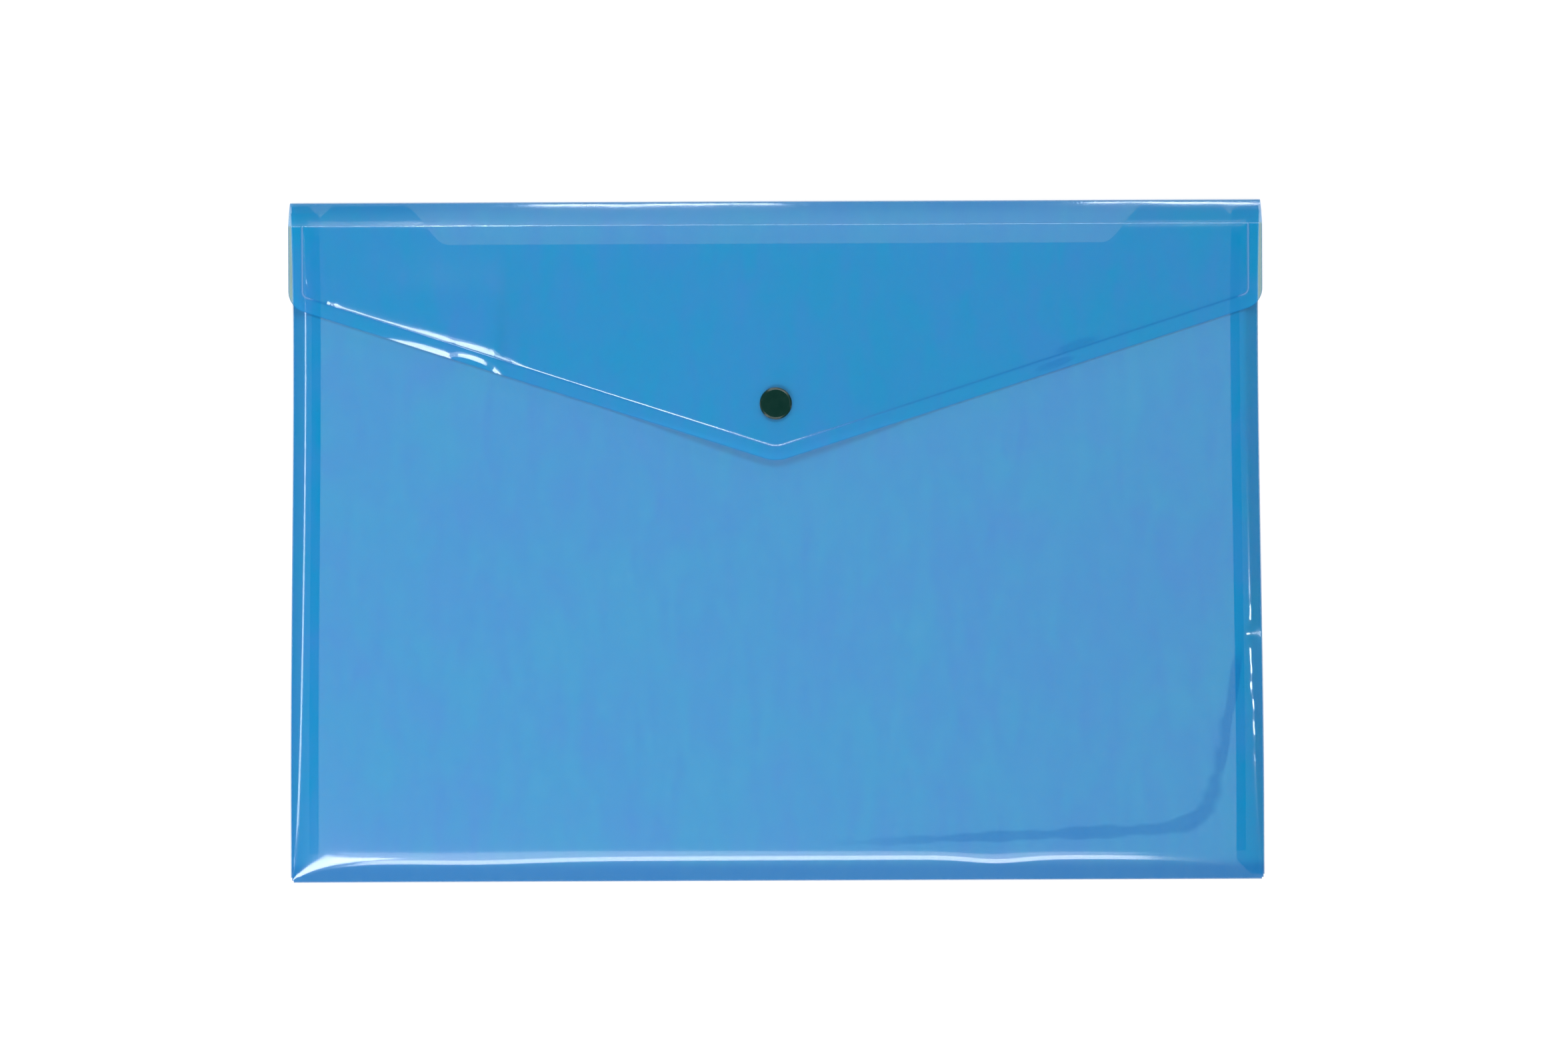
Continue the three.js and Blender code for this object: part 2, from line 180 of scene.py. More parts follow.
# Painted shade: the spine strip is darker beside the top fold.
SPINE_SHADE_BAND = 3.6 * MM
SPINE_SHADE = 0.38
BARE_WIDTH = 0.8 * MM
BARE_SOFTNESS = 0.3 * MM
BORDER_REACH = 6.0 * MM
BORDER_STEPS = (0, 0.3, 0.6, 0.9, 1.2, 1.6, 2.0, 2.5, 3.1, 3.8, 4.3, 4.55, 4.68, 4.8, 4.92, 5.05, 5.3, 6.0)
# The flap swells inside its score line, most of all on the left, up to where it clings to the front again.
BULGE_EASE = 5.5 * MM
BULGE_SIDE_EASE = 2.2 * MM
BULGE_REACH = 42 * MM
BULGE_START = -162 * MM
BULGE_END = -97 * MM
BULGE_FADE = 16 * MM
BULGE_FIRST = 0.66
BULGE_REST = 0.13
CREASE_REACH = 27 * MM
# The border stands off over the same length. Near its end it clings down in a lens along the free edge.
LIFT_START = -152 * MM
LIFT_FULL = -116 * MM
LIFT_END = -91 * MM
LIFT_FADE = 5 * MM
LIFT_EASE = 3.2 * MM
BLISTER_X = -153.3 * MM
BLISTER_REACH = 1.6 * MM
BLISTER_SHARE = 0.5
CLING_START = -111 * MM
CLING_END = -97 * MM
CLING_DEPTH = 1.7 * MM

# Lenses on the right where the flap clings to the front: place, distance from the edge, half length and
# half depth
CLING_LENSES = (
    (103 * MM, 6.2 * MM, 7 * MM, 1.5 * MM),
    (95.5 * MM, 2.3 * MM, 6.5 * MM, 1.3 * MM),
)
# Where a lens ends, and the softness of its rim, as shares of its half sizes
LENS_RIM = 1.15
LENS_SOFTNESS = 0.3

# Weld
WELD_WIDTH = 3.2 * MM
WELD_PITCH = 0.65 * MM
WELD_RIB = 0.09 * MM
WELD_BEVEL = 0.06
WELD_SHOULDER = 0.4

# Press stud
POPPER_Y = (CAP_LOW.y + CAP_HIGH.y) / 2
POST_DIAMETER = 2.4 * MM
POST_FIT = 0.3 * MM
CAP_THICKNESS = 1.4 * MM
CAP_CHAMFER = 0.3 * MM
CAP_GROOVE = 0.05 * MM
SOCKET_WEB = 0.5 * MM
BALL_DIAMETER = 4.6 * MM
BALL_NECK = 4 * MM
BALL_PLAY = 0.3 * MM
STUD_FLANGE = 0.6 * MM
BACK_THICKNESS = 0.8 * MM
BACK_POST_RISE = 0.7 * MM
# Rings of the cap's face, as distances from its rounded rim
CAP_RINGS = (0.12 * MM, 0.2 * MM, 0.3 * MM, 0.34 * MM, 0.5 * MM)
TURNED_SEGMENTS = 96
HOLE_SEGMENTS = 48

# Spacing of the meshes, and counts of their rows, columns and points
TAB_SPACING = 0.8 * MM
SPINE_SPACING = 1.5 * MM
EDGE_SPACING = 1.2 * MM
TAB_END_EASE = 8 * MM
BACK_SPACING = 8 * MM
FOLD_END = 0.5 * MM
FOLD_COLUMNS = 12
FOLD_ROWS = 14
MOUTH_ROWS = 22
FLAP_ROWS = 44
CREASE_ROWS = 11
TOP_FOLD_ROWS = 20
SPINE_ROWS = 24
TIP_POINTS = 8
CORNER_POINTS = 14

# Camera and stage. Places and sizes in the photograph are in pixels, and its scale is in pixels per metre.
FLOOR_GAP = 0.05 * MM
FLOOR_SIZE = 6.0
PHOTO_WIDTH = 2352
PHOTO_SCALE = 4.355 / MM
FOLDER_CENTRE_X = 1164.5
FOLDER_CENTRE_Y = 811.7
PHOTO_CENTRE_X = 1176
PHOTO_CENTRE_Y = 784
CAMERA_LENS = 70
CAMERA_SENSOR = 36
CAMERA_ROLL = math.radians(-0.24)

# Softboxes that the folds mirror: name, place, width and height, and share of the full brightness
SOFTBOXES = (
    ("front_softbox", (-0.023, -0.639, 0.728), (0.53, 0.32), 1.0),
    ("front_fill_softbox", (-0.083, -0.435, 0.893), (0.65, 0.2), 0.3),
    ("corner_softbox", (-0.42, -0.47, 0.68), (0.22, 0.42), 1.5),
    ("crease_softbox", (-0.191, 0.618, 0.7), (0.031, 0.26), 8.0),
    ("left_softbox", (-0.777, 0.0, 0.43), (0.4, 0.2), 0.9),
    ("right_softbox", (0.777, -0.077, 0.43), (0.086, 0.2), 2.2),
    ("low_left_softbox", (-0.067, 0.647, 0.277), (0.133, 0.014), 3.0),
    ("low_right_softbox", (0.213, 0.647, 0.277), (0.095, 0.014), 3.0),
)
KEY_PLACE = (0.18, 0.82, 1.05)
KEY_SIZE = (1.3, 0.36)

# Floor: its colour, and what the camera, mirrors and clear plastic see of it
FLOOR_LIT = (0.8, 0.8, 0.8, 1)
FLOOR_SEEN = (0.35, 0.35, 0.35, 1)
FLOOR_GLOW = (0.72, 0.72, 0.72, 1)
BLACK = (0, 0, 0, 1)

# Clouds and streaks of the sheet, and the grain of the plastics, in waves per metre
CLOUD_SCALE = 24.0
STREAK_SCALE = (150.0, 42.0, 1.0)
CLOUD_SHARE = 0.55
CLOUD_CONTRAST = 8.0
CLOUD_COVER = 0.4
SATIN_SCALE = 1400.0
SATIN_DEPTH = 0.02 * MM
FLOW_SCALE = 260.0
MOULD_SCALE = 3500.0
MOULD_DEPTH = 0.01 * MM
MOULD_ROUGHNESS = 0.22
MOULD_UNEVENNESS = 0.2
# How far the haze changes the opacity and the roughness, and how much denser the sheet is where it clings and
# where shade is painted
HAZE_OPACITY = 0.25
HAZE_ROUGHNESS = 0.15
CONTACT_AND_SHADE_OPACITY = 0.12
WELD_OPACITY = 0.75

SHARP_EDGE = math.radians(48)


class FolderSizes(bpy.types.PropertyGroup):
    """Sizes of the sheet and its folds"""

    sheet: bpy.props.FloatProperty(
        name="Sheet", description="Thickness of the polypropylene sheet",
        default=BACK_HIGH.z - BACK_LOW.z, min=0.1 * MM, max=0.5 * MM, precision=5, unit="LENGTH",
    )
    crown: bpy.props.FloatProperty(
        name="Crown", description="Slow rise of the front towards its middle, past the knees",
        default=0.9 * MM, min=0.0, max=6 * MM, precision=5, unit="LENGTH",
    )
    bulge: bpy.props.FloatProperty(
        name="Flap bulge", description="How far the flap swells inside its score line, on the left",
        default=2.7 * MM, min=0.0, max=4 * MM, precision=5, unit="LENGTH",
    )
    lift: bpy.props.FloatProperty(
        name="Border lift", description="How far the flap's border stands off, on the left",
        default=1.5 * MM, min=0.0, max=2 * MM, precision=5, unit="LENGTH",
    )
    score_depth: bpy.props.FloatProperty(
        name="Score depth", description="Depth of the pressed line that follows the flap's free edge",
        default=0.12 * MM, min=0.0, max=0.2 * MM, precision=5, unit="LENGTH",
    )
    cap_round: bpy.props.FloatProperty(
        name="Cap rounding", description="Radius of the press stud cap's upper rim",
        default=0.45 * MM, min=0.1 * MM, max=0.6 * MM, precision=5, unit="LENGTH",
    )


class FolderFinish(bpy.types.PropertyGroup):
    """Colours and finish of the plastics"""

    sheet_colour: bpy.props.FloatVectorProperty(
        name="Sheet colour", description="Colour of the tinted sheet",
        default=(0.0, 0.365, 0.72), min=0.0, max=1.0, size=3, subtype="COLOR",
    )
    cloud_colour: bpy.props.FloatVectorProperty(
        name="Cloud colour", description="Colour of the paler, more violet clouds in the sheet",
        default=(0.035, 0.325, 0.75), min=0.0, max=1.0, size=3, subtype="COLOR",
    )
    # Painted shade: the flap's greyer, darker overhang stands in for the shadowed floor seen through the
    # single sheet.
    bare_and_shadowed_colour: bpy.props.FloatVectorProperty(
        name="Bare colour", description="Greyer colour of a single sheet with nothing behind it",
        default=(0.0, 0.23, 0.22), min=0.0, max=1.0, size=3, subtype="COLOR",
    )
    # Besides where sheets cling, this colour paints shade on the sloping strips by the folds, beside the top
    # fold and in the flap's score line.
    contact_and_shade_colour: bpy.props.FloatVectorProperty(
        name="Contact colour", description="Deeper colour where two sheets cling together",
        default=(0.001, 0.22, 0.6), min=0.0, max=1.0, size=3, subtype="COLOR",
    )
    # Partly a painted highlight: the pale score line stands in for reflections along it, besides stress
    # whitening.
    whitened_and_highlit_colour: bpy.props.FloatVectorProperty(
        name="Whitened colour", description="Pale colour of the score line where bending whitened it",
        default=(0.4, 0.6, 0.9), min=0.0, max=1.0, size=3, subtype="COLOR",
    )
    weld_colour: bpy.props.FloatVectorProperty(
        name="Weld colour", description="Colour of the melted seam",
        default=(0.0, 0.33, 0.85), min=0.0, max=1.0, size=3, subtype="COLOR",
    )
    popper_colour: bpy.props.FloatVectorProperty(
        name="Press stud colour", description="Colour of the press stud's plastic",
        default=(0.001, 0.024, 0.018), min=0.0, max=1.0, size=3, subtype="COLOR",
    )
    opacity: bpy.props.FloatProperty(
        name="Face opacity", description="Opacity of one face of the sheet, which has two",
        default=0.46, min=0.05, max=1.0, subtype="FACTOR",
    )
    roughness: bpy.props.FloatProperty(
        name="Sheet roughness", description="Roughness of the sheet's satin surface",
        default=0.18, min=0.0, max=1.0, subtype="FACTOR",
    )
    haze: bpy.props.FloatProperty(
        name="Haze", description="Strength of the cloudy variation in the sheet",
        default=0.5, min=0.0, max=1.0, subtype="FACTOR",
    )


class FolderStage(bpy.types.PropertyGroup):
    """Light round the folder"""

    gleam: bpy.props.FloatProperty(
        name="Gleam",
        description="Brightness of the softboxes that the folds mirror, where 1 is the studio's white",
        default=6.5, min=0.0,
    )
    key_light: bpy.props.FloatProperty(
        name="Key light",
        description="Brightness of the large softbox beyond the folder's top, which casts the shadows",
        default=6.9, min=0.0,
    )
    room_light: bpy.props.FloatProperty(
        name="Room light", description="Level of the even light from all round",
        default=0.05, min=0.0, max=1.0,
    )


def smooth(t):
    """Eases a share from 0 to 1."""
    t = np.clip(t, 0, 1)
    return t * t * (3 - 2 * t)


def mix(a, b, t):
    """The value at a share t of the way from a to b."""
    return a + (b - a) * t


def steps(low, high, spacing):
    """Even places from low to high, about spacing apart."""
    count = max(1, round(abs(high - low) / spacing))
    return np.linspace(low, high, count + 1)


def layout(sizes):
    """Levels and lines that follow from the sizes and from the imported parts."""
    s = SimpleNamespace(sheet=sizes.sheet, crown=sizes.crown)
    s.top = TOP_FOLD_HIGH.y
    s.bottom = BOTTOM_FOLD_LOW.y
    s.half_width = SIDE_FOLD_HIGH.x
    s.half_flap = FLAP_HIGH.x
    s.flap_inset = s.half_width - s.half_flap
    s.edge_top = BOTTOM_FOLD_HIGH.z
    s.tab_under = TAB_LOW.z
    s.tab_ends = (TAB_LOW.y, TAB_HIGH.y)
    s.crease_line = FLAP_HIGH.y
    s.crease_under = FLAP_LOW.z
    s.rise = s.crease_under - FLAP_GAP - s.edge_top
    s.side_slope = s.rise / SIDE_BAND
    s.bottom_slope = s.rise / BOTTOM_BAND
    # Each fold's round meets the sloping strip and the flat sheet under it without a kink.
    s.side_turn = math.atan(s.side_slope)
    s.bottom_turn = math.atan(s.bottom_slope)
    s.side_radius = (s.edge_top - s.tab_under) / (1 + 1 / math.cos(s.side_turn))
    s.bottom_radius = s.edge_top / (1 + 1 / math.cos(s.bottom_turn))
    s.side_line = s.half_width - s.side_radius
    s.bottom_line = s.bottom + s.bottom_radius
    s.top_line = s.top - TOP_FOLD_RADIUS
    s.crease_centre = s.crease_under - CREASE_RADIUS
    run = s.top_line - s.crease_line
    climb = s.crease_centre - TOP_FOLD_RADIUS
    turn = math.asin((TOP_FOLD_RADIUS - s.sheet - CREASE_RADIUS) / math.hypot(run, climb))
    s.spine_slope = math.atan2(climb, run) - turn
    s.mouth_line = s.top - MOUTH_DEPTH
    s.ear_line = s.top - EAR_DEPTH
    s.mouth_half = s.half_width - EAR_WIDTH - MOUTH_CURVE
    s.notch_place = s.half_width - NOTCH_INSET
    s.popper_y = POPPER_Y
    flap_at_popper = SOCKET_HIGH.z + POPPER_GAP
    s.popper_lift = flap_at_popper - front_top(s, 0.0, s.popper_y) - FLAP_GAP
    return s


def drawn(s, y):
    """Where the side fold lies at a height, as a share of its place at the bottom."""
    height = y - s.bottom
    lean = smooth((height - WAIST_START) / (WAIST_HEIGHT - WAIST_START))
    back = np.clip((height - WAIST_HEIGHT) / (s.top - s.bottom - WAIST_HEIGHT), 0, 1)
    return 1 - (WAIST_DRAW_IN * lean - (WAIST_DRAW_IN - s.flap_inset) * back * back) / s.half_width


def mouth_edge(s, x):
    """The mouth's edge: a straight recess, a curve up to each ear, and a small notch in the ear."""
    along = smooth((np.abs(x) - s.mouth_half) / MOUTH_CURVE)
    notch = np.maximum(0, NOTCH_SIZE - np.abs(np.abs(x) - s.notch_place))
    return mix(s.mouth_line, s.ear_line, along) - notch


def crown_height(s, x, y):
    """The slow rise towards the middle, which ends at the knees and at the flap's crease."""
    low = s.bottom + BOTTOM_BAND
    middle = (s.crease_line + low) / 2
    along = np.clip((y - middle) / (s.crease_line - middle), -1, 1)
    across = np.clip(x / s.half_width, -1, 1)
    return s.crown * (1 - along**2) * (1 - across**2)


def knee(distance, flat, slope, ease):
    """Height of a strip that climbs at a slope and eases into a flat level."""
    ease = np.minimum(ease, EASE_SHARE * flat / slope)
    start = flat / slope - ease
    past = np.maximum(distance - start, 0)
    return np.where(past > 0, flat - slope * ease * np.exp(-past / ease), slope * distance)


def front_top(s, x, y):
    """Height of the front's outer face. x is counted as if the side folds were not drawn in."""
    from_side = np.maximum(s.side_line - np.abs(x), 0)
    from_bottom = np.maximum(y - s.bottom_line, 0)
    dip = CORNER_DIP * np.exp(-from_side / CORNER_REACH_X - from_bottom / CORNER_REACH_Y)
    for place, reach, share in BOTTOM_DENTS:
        dip = dip + share * np.exp(-(((x - place) / reach) ** 2) - from_bottom / BOTTOM_DENT_REACH)
    flat = s.rise * (1 - dip)
    from_side = from_side * (1 + dented(x, y))
    side = knee(from_side, flat, s.side_slope, SIDE_EASE) / flat
    low = knee(from_bottom, flat, s.bottom_slope, BOTTOM_EASE) / flat
    # Past the crease the ears fall away with the spine strip.
    down = math.tan(s.spine_slope) * TOP_EASE * np.logaddexp(0, (y - s.crease_line) / TOP_EASE)
    high = np.clip(1 - down / flat, 0.01, 1)
    share = ridge(ridge(side, low), high)
    return s.edge_top + flat * share + crown_height(s, x, y) * share


def dented(x, y):
    """How the right knee wanders where the folder was pressed, as a share of its place."""
    pressed = smooth((y - DENT_LOW) / DENT_FADE_LOW) * smooth((DENT_HIGH - y) / DENT_FADE_HIGH) * (x > 0)
    wander = sum(share * np.sin(y / length + start) for share, length, start in DENT_WAVES)
    notch = DENT_SHARE * np.exp(-(((y - DENT_Y) / DENT_REACH) ** 2))
    return pressed * (wander - notch)


def ridge(a, b):
    """The lower of two shares, with a rounded ridge where they meet."""
    a = np.maximum(a, 1e-3)
    b = np.maximum(b, 1e-3)
    return (a**-RIDGE_POWER + b**-RIDGE_POWER - 1) ** (-1 / RIDGE_POWER)


class Outline:
    """Free edge of the flap: both sides, the slanted lower edges, the corners and the tip."""

    def __init__(self, s):
        # The slant depends on the rounded tip and the other way round, so both settle over 20 rounds.
        angle = 0.0
        for _ in range(20):
            sharp_tip = FLAP_DEPTH + FLAP_TIP_RADIUS * (1 / math.cos(angle) - 1)
            angle = math.atan2(sharp_tip - FLAP_SIDE, s.half_flap)
        self.angle = angle
        self.half = s.half_flap
        self.tip_y = s.crease_line - FLAP_DEPTH + FLAP_TIP_RADIUS
        self.corner_x = s.half_flap - FLAP_CORNER_RADIUS
        self.corner_y = self.slanted(self.corner_x) + FLAP_CORNER_RADIUS / math.cos(angle)

    def slanted(self, x):
        """The straight part of the lower edge, carried on to any x."""
        return self.tip_y - FLAP_TIP_RADIUS / math.cos(self.angle) + np.abs(x) * math.tan(self.angle)

    def lower_half(self):
        """Points and inward directions from the tip to the end of the right corner."""
        tip = np.linspace(0, self.angle, TIP_POINTS)
        points = [(FLAP_TIP_RADIUS * math.sin(a), self.tip_y - FLAP_TIP_RADIUS * math.cos(a)) for a in tip]
        inward = [(-math.sin(a), math.cos(a)) for a in tip]
        start = points[-1][0]
        end = self.corner_x + FLAP_CORNER_RADIUS * math.sin(self.angle)
        for x in steps(start, end, EDGE_SPACING)[1:-1]:
            points.append((x, float(self.slanted(x))))
            inward.append((-math.sin(self.angle), math.cos(self.angle)))
        for a in np.linspace(self.angle, math.pi / 2, CORNER_POINTS):
            reach = FLAP_CORNER_RADIUS
            points.append((self.corner_x + reach * math.sin(a), self.corner_y - reach * math.cos(a)))
            inward.append((-math.sin(a), math.cos(a)))
        return np.array(points), np.array(inward)


def flap_under(s, x, y):
    """Height of the flap's underside, which the press stud holds up round itself."""
    away = np.clip(np.hypot(x, y - s.popper_y) / POPPER_DROP, 0, 1)
    return s.crease_under + crown_height(s, x, y) + s.popper_lift * (1 - away**2) ** 2


def flap_top(s, outline, sizes, x, y, inset):
    """Height of the flap's outer face. inset is the distance from the free edge, known in the border only."""
    from_lower = (y - outline.slanted(x)) * math.cos(outline.angle) - SCORE_INSET
    from_side = outline.half - np.abs(x) - SCORE_INSET
    near_lower = np.exp(-np.maximum(from_lower, 0) / BULGE_EASE)
    near_side = np.exp(-np.maximum(from_side, 0) / BULGE_SIDE_EASE)
    near = np.minimum(near_lower + near_side, 1)
    far = np.exp(-np.maximum(np.minimum(from_lower, from_side), 0) / BULGE_REACH)
    from_crease = smooth((s.crease_line - y) / CREASE_REACH)
    swell = mix(BULGE_FIRST, 1, np.clip((x - BULGE_START) / (BULGE_END - BULGE_START), 0, 1))
    swell = mix(swell, BULGE_REST, smooth((x - BULGE_END) / BULGE_FADE))
    bulge = sizes.bulge * swell * (1 - near) * far
    past = inset - SCORE_INSET
    score = np.where(past > 0, np.exp(-((past / SCORE_WIDTH) ** 2)), np.exp(past / SCORE_EASE))
    lift = border_lift(sizes, x, inset) * far
    raised = bulge - sizes.score_depth * score + lift
    return flap_under(s, x, y) + s.sheet + raised * from_crease


def border_lift(sizes, x, inset):
    """How far the border's left part stands off, from where it stops clinging to the front."""
    along = np.clip((x - CLING_START) / (CLING_END - CLING_START), 0, 1)
    cling = CLING_DEPTH * np.sqrt(1 - (2 * along - 1) ** 2)
    off = np.clip(np.minimum(inset, SCORE_INSET) - cling, 0, SCORE_INSET)
    lifted = smooth((x - LIFT_START) / (LIFT_FULL - LIFT_START)) * smooth((LIFT_END - x) / LIFT_FADE)
    lifted = lifted + BLISTER_SHARE * np.exp(-(((x - BLISTER_X) / BLISTER_REACH) ** 2))
    return sizes.lift * lifted * (1 - np.exp(-off / LIFT_EASE))


def add_mesh(name, points, faces, material, slot):
    """Adds a mesh object from points and faces."""
    mesh = bpy.data.meshes.new(name)
    mesh.from_pydata(np.asarray(points, float).reshape(-1, 3).tolist(), [], [list(f) for f in faces])
    mesh.validate()
    mesh.update()
    mesh.materials.append(material)
    piece = bpy.data.objects.new(name, mesh)
    bpy.context.scene.collection.objects.link(piece)
    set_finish(piece, slot)
    return piece


def apply_modifiers(piece):
    """Turns the piece's modifiers into mesh and shades it smooth, with crisp rims."""
    name = piece.data.name
    graph = bpy.context.evaluated_depsgraph_get()
    mesh = bpy.data.meshes.new_from_object(piece.evaluated_get(graph))
    piece.modifiers.clear()
    old = piece.data
    piece.data = mesh
    bpy.data.meshes.remove(old)
    mesh.name = name
    mesh.shade_smooth()
    mesh.set_sharp_from_angle(angle=SHARP_EDGE)


def thicken(piece, thickness):
    """Gives a surface its sheet's thickness, on the inner side."""
    solidify = piece.modifiers.new("Thickness", "SOLIDIFY")
    solidify.thickness = thickness
    solidify.offset = -1
    apply_modifiers(piece)


def punch(piece, radius, y, low, high):
    """Cuts the round hole for a post of the press stud."""
    points, faces = turned([(0, low), (radius, low), (radius, high), (0, high)], HOLE_SEGMENTS)
    points[:, 1] += y
    cutter = add_mesh("post_hole_cutter", points, faces, piece.data.materials[0], piece["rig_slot"])
    cut = piece.modifiers.new("Hole", "BOOLEAN")
    cut.operation = "DIFFERENCE"
    cut.solver = "EXACT"
    cut.object = cutter
    apply_modifiers(piece)
    bpy.data.objects.remove(cutter)


def grid_faces(kept):
    """Four-cornered faces of the kept cells of a grid, as rows of point numbers."""
    columns = kept.shape[1]
    row, column = np.nonzero(kept)
    first = row * (columns + 1) + column
    return np.stack([first, first + 1, first + columns + 2, first + columns + 1], axis=1)


def without_loose(points, faces):
    """Drops the points that no face uses."""
    used, places = np.unique(faces, return_inverse=True)
    return points[used], places.reshape(faces.shape)


def pocket_columns(s):
    """Places across the right half of the front, closer together at the mouth's curve, notch and fold."""
    fine = [
        steps(0, 5 * MM, 0.8 * MM),
        steps(5 * MM, s.mouth_half, 1.5 * MM),
        steps(s.mouth_half, s.mouth_half + MOUTH_CURVE, 0.9 * MM),
        steps(s.mouth_half + MOUTH_CURVE, s.notch_place - NOTCH_SIZE, 2 * MM),
        steps(s.notch_place - NOTCH_SIZE, s.notch_place, 0.5 * MM),
        steps(s.notch_place, s.notch_place + NOTCH_SIZE, 0.4 * MM),
        steps(s.notch_place + NOTCH_SIZE, s.side_line, 0.25 * MM),
    ]
    return np.unique(np.round(np.concatenate(fine), 9))


def pocket_rows(s):
    """Places up the front below the mouth's last rows, closer together at the bottom and the press stud."""
    last = s.mouth_line - MOUTH_DEPTH / 2
    popper = s.popper_y
    fine = [
        steps(s.bottom_line, s.tab_ends[0], 0.35 * MM),
        steps(s.tab_ends[0], s.bottom_line + 14 * MM, 0.35 * MM),
        steps(s.bottom_line + 14 * MM, s.bottom_line + 24 * MM, 0.7 * MM),
        steps(s.bottom_line + 24 * MM, popper - 5 * MM, 1.5 * MM),
        steps(popper - 5 * MM, popper + 5 * MM, 0.9 * MM),
        steps(popper + 5 * MM, last, 2.4 * MM),
    ]
    return np.unique(np.round(np.concatenate(fine), 9))


class PocketColumns:
    """Columns across the pocket: the left tab and fold, the front, and the right fold and tab."""

    def __init__(self, s):
        half = pocket_columns(s)
        self.s = s
        self.panel = np.concatenate([-half[:0:-1], half])
        self.angles = np.linspace(math.pi / 2 - s.side_turn, -math.pi / 2, FOLD_COLUMNS)
        self.tab = steps(s.side_radius, TAB_WIDTH, TAB_SPACING)[1:]
        self.first = len(self.angles) + len(self.tab)
        self.last = self.first + len(self.panel)
        self.count = self.last + self.first
        self.flat_x = np.pad(self.panel, self.first, mode="edge")
        between = np.zeros(self.count - 2 * len(self.tab))
        self.inward = np.concatenate([self.tab[::-1], between, self.tab])

    def row(self, y):
        """Points of one row of the front, with y given for each column."""
        s = self.s
        x = np.zeros(self.count)
        z = np.zeros(self.count)
        front = slice(self.first, self.last)
        x[front] = self.panel * drawn(s, y[front])
        z[front] = front_top(s, self.panel, y[front])
        fold = s.side_line * drawn(s, y)
        for side, start in ((1, self.last), (-1, self.first - 1)):
            for k, angle in enumerate(self.angles):
                i = start + side * k
                x[i] = side * (fold[i] + s.side_radius * math.cos(angle))
                z[i] = s.tab_under + s.side_radius * (1 + math.sin(angle))
            for k, inward in enumerate(self.tab):
                i = start + side * (len(self.angles) + k)
                x[i] = side * (s.half_width - inward) * drawn(s, y[i])
                z[i] = s.tab_under
        return np.stack([x, y, z], axis=1)

    def level_row(self, x, y, z):
        """Points of one row at one y and z."""
        return np.stack([x, np.full(self.count, y), np.full(self.count, z)], axis=1)


def front_rows(s, columns):
    """Rows of the front, and the numbers of the rows where the side tabs begin and end."""
    body = pocket_rows(s)
    # The tab's lower end is cut off slantwise.
    slant = np.maximum(columns.inward - TAB_END_WIDTH, 0)
    rows = []
    for y in body:
        above = y - s.tab_ends[0]
        share = np.clip(1 - above / TAB_END_EASE, 0, 1) if above > -SEAM else 0
        rows.append(columns.row(y + slant * share))
    rim = mouth_edge(s, columns.flat_x)
    tab_top = (s.tab_ends[1] - body[-1]) / (s.ear_line - body[-1])
    shares = np.unique(np.concatenate([np.linspace(0, 1, MOUTH_ROWS)[1:], [tab_top]]))
    for share in shares:
        rows.append(columns.row(mix(body[-1], rim, share)))
    tab_first = int(np.argmin(np.abs(body - s.tab_ends[0])))
    tab_last = len(body) + int(np.argmin(np.abs(shares - tab_top)))
    return rows, tab_first, tab_last


def back_rows(s, columns):
    """Rows of the bottom fold and then of the back, which go on below the front."""
    rows = []
    for angle in np.linspace(math.pi / 2 - s.bottom_turn, -math.pi / 2, FOLD_ROWS):
        y = s.bottom_line - s.bottom_radius * math.cos(angle)
        rows.append(columns.level_row(columns.flat_x, y, s.bottom_radius * (1 + math.sin(angle))))
    widening = (s.side_line + s.side_radius / 2) / s.side_line
    for y in steps(s.bottom_line, s.top_line - SEAM, BACK_SPACING)[1:]:
        rows.append(columns.level_row(columns.flat_x * drawn(s, y) * widening, y, 0))
    return rows


def pocket_surface(s):
    """Outer face of the sheet that makes the back, the bottom fold, the front, the folds and the tabs."""
    columns = PocketColumns(s)
    front, tab_first, tab_last = front_rows(s, columns)
    back = back_rows(s, columns)
    points = np.array(back[::-1] + front)
    below = len(back)
    middle = slice(columns.first, columns.last - 1)
    kept = np.zeros((len(points) - 1, columns.count - 1), bool)
    kept[:, middle] = True
    # The bottom fold ends a little short of the side folds.
    inside = np.abs(mix(columns.flat_x[:-1], columns.flat_x[1:], 0.5)) < s.side_line - FOLD_END
    kept[below - FOLD_ROWS : below, middle] = inside[middle]
    tabs = slice(below + tab_first, below + tab_last)
    kept[tabs, : columns.first] = True
    kept[tabs, columns.last - 1 :] = True
    return without_loose(points.reshape(-1, 3), grid_faces(kept))


def spine_point(s, end, height):
    """y and z beside the spine strip, where it leaves the top fold or meets the crease."""
    y, z, radius = s.top_line, TOP_FOLD_RADIUS, TOP_FOLD_RADIUS - s.sheet
    if end == "crease":
        y, z, radius = s.crease_line, s.crease_centre, CREASE_RADIUS
    reach = radius + height
    return y + reach * math.sin(s.spine_slope), z + reach * math.cos(s.spine_slope)


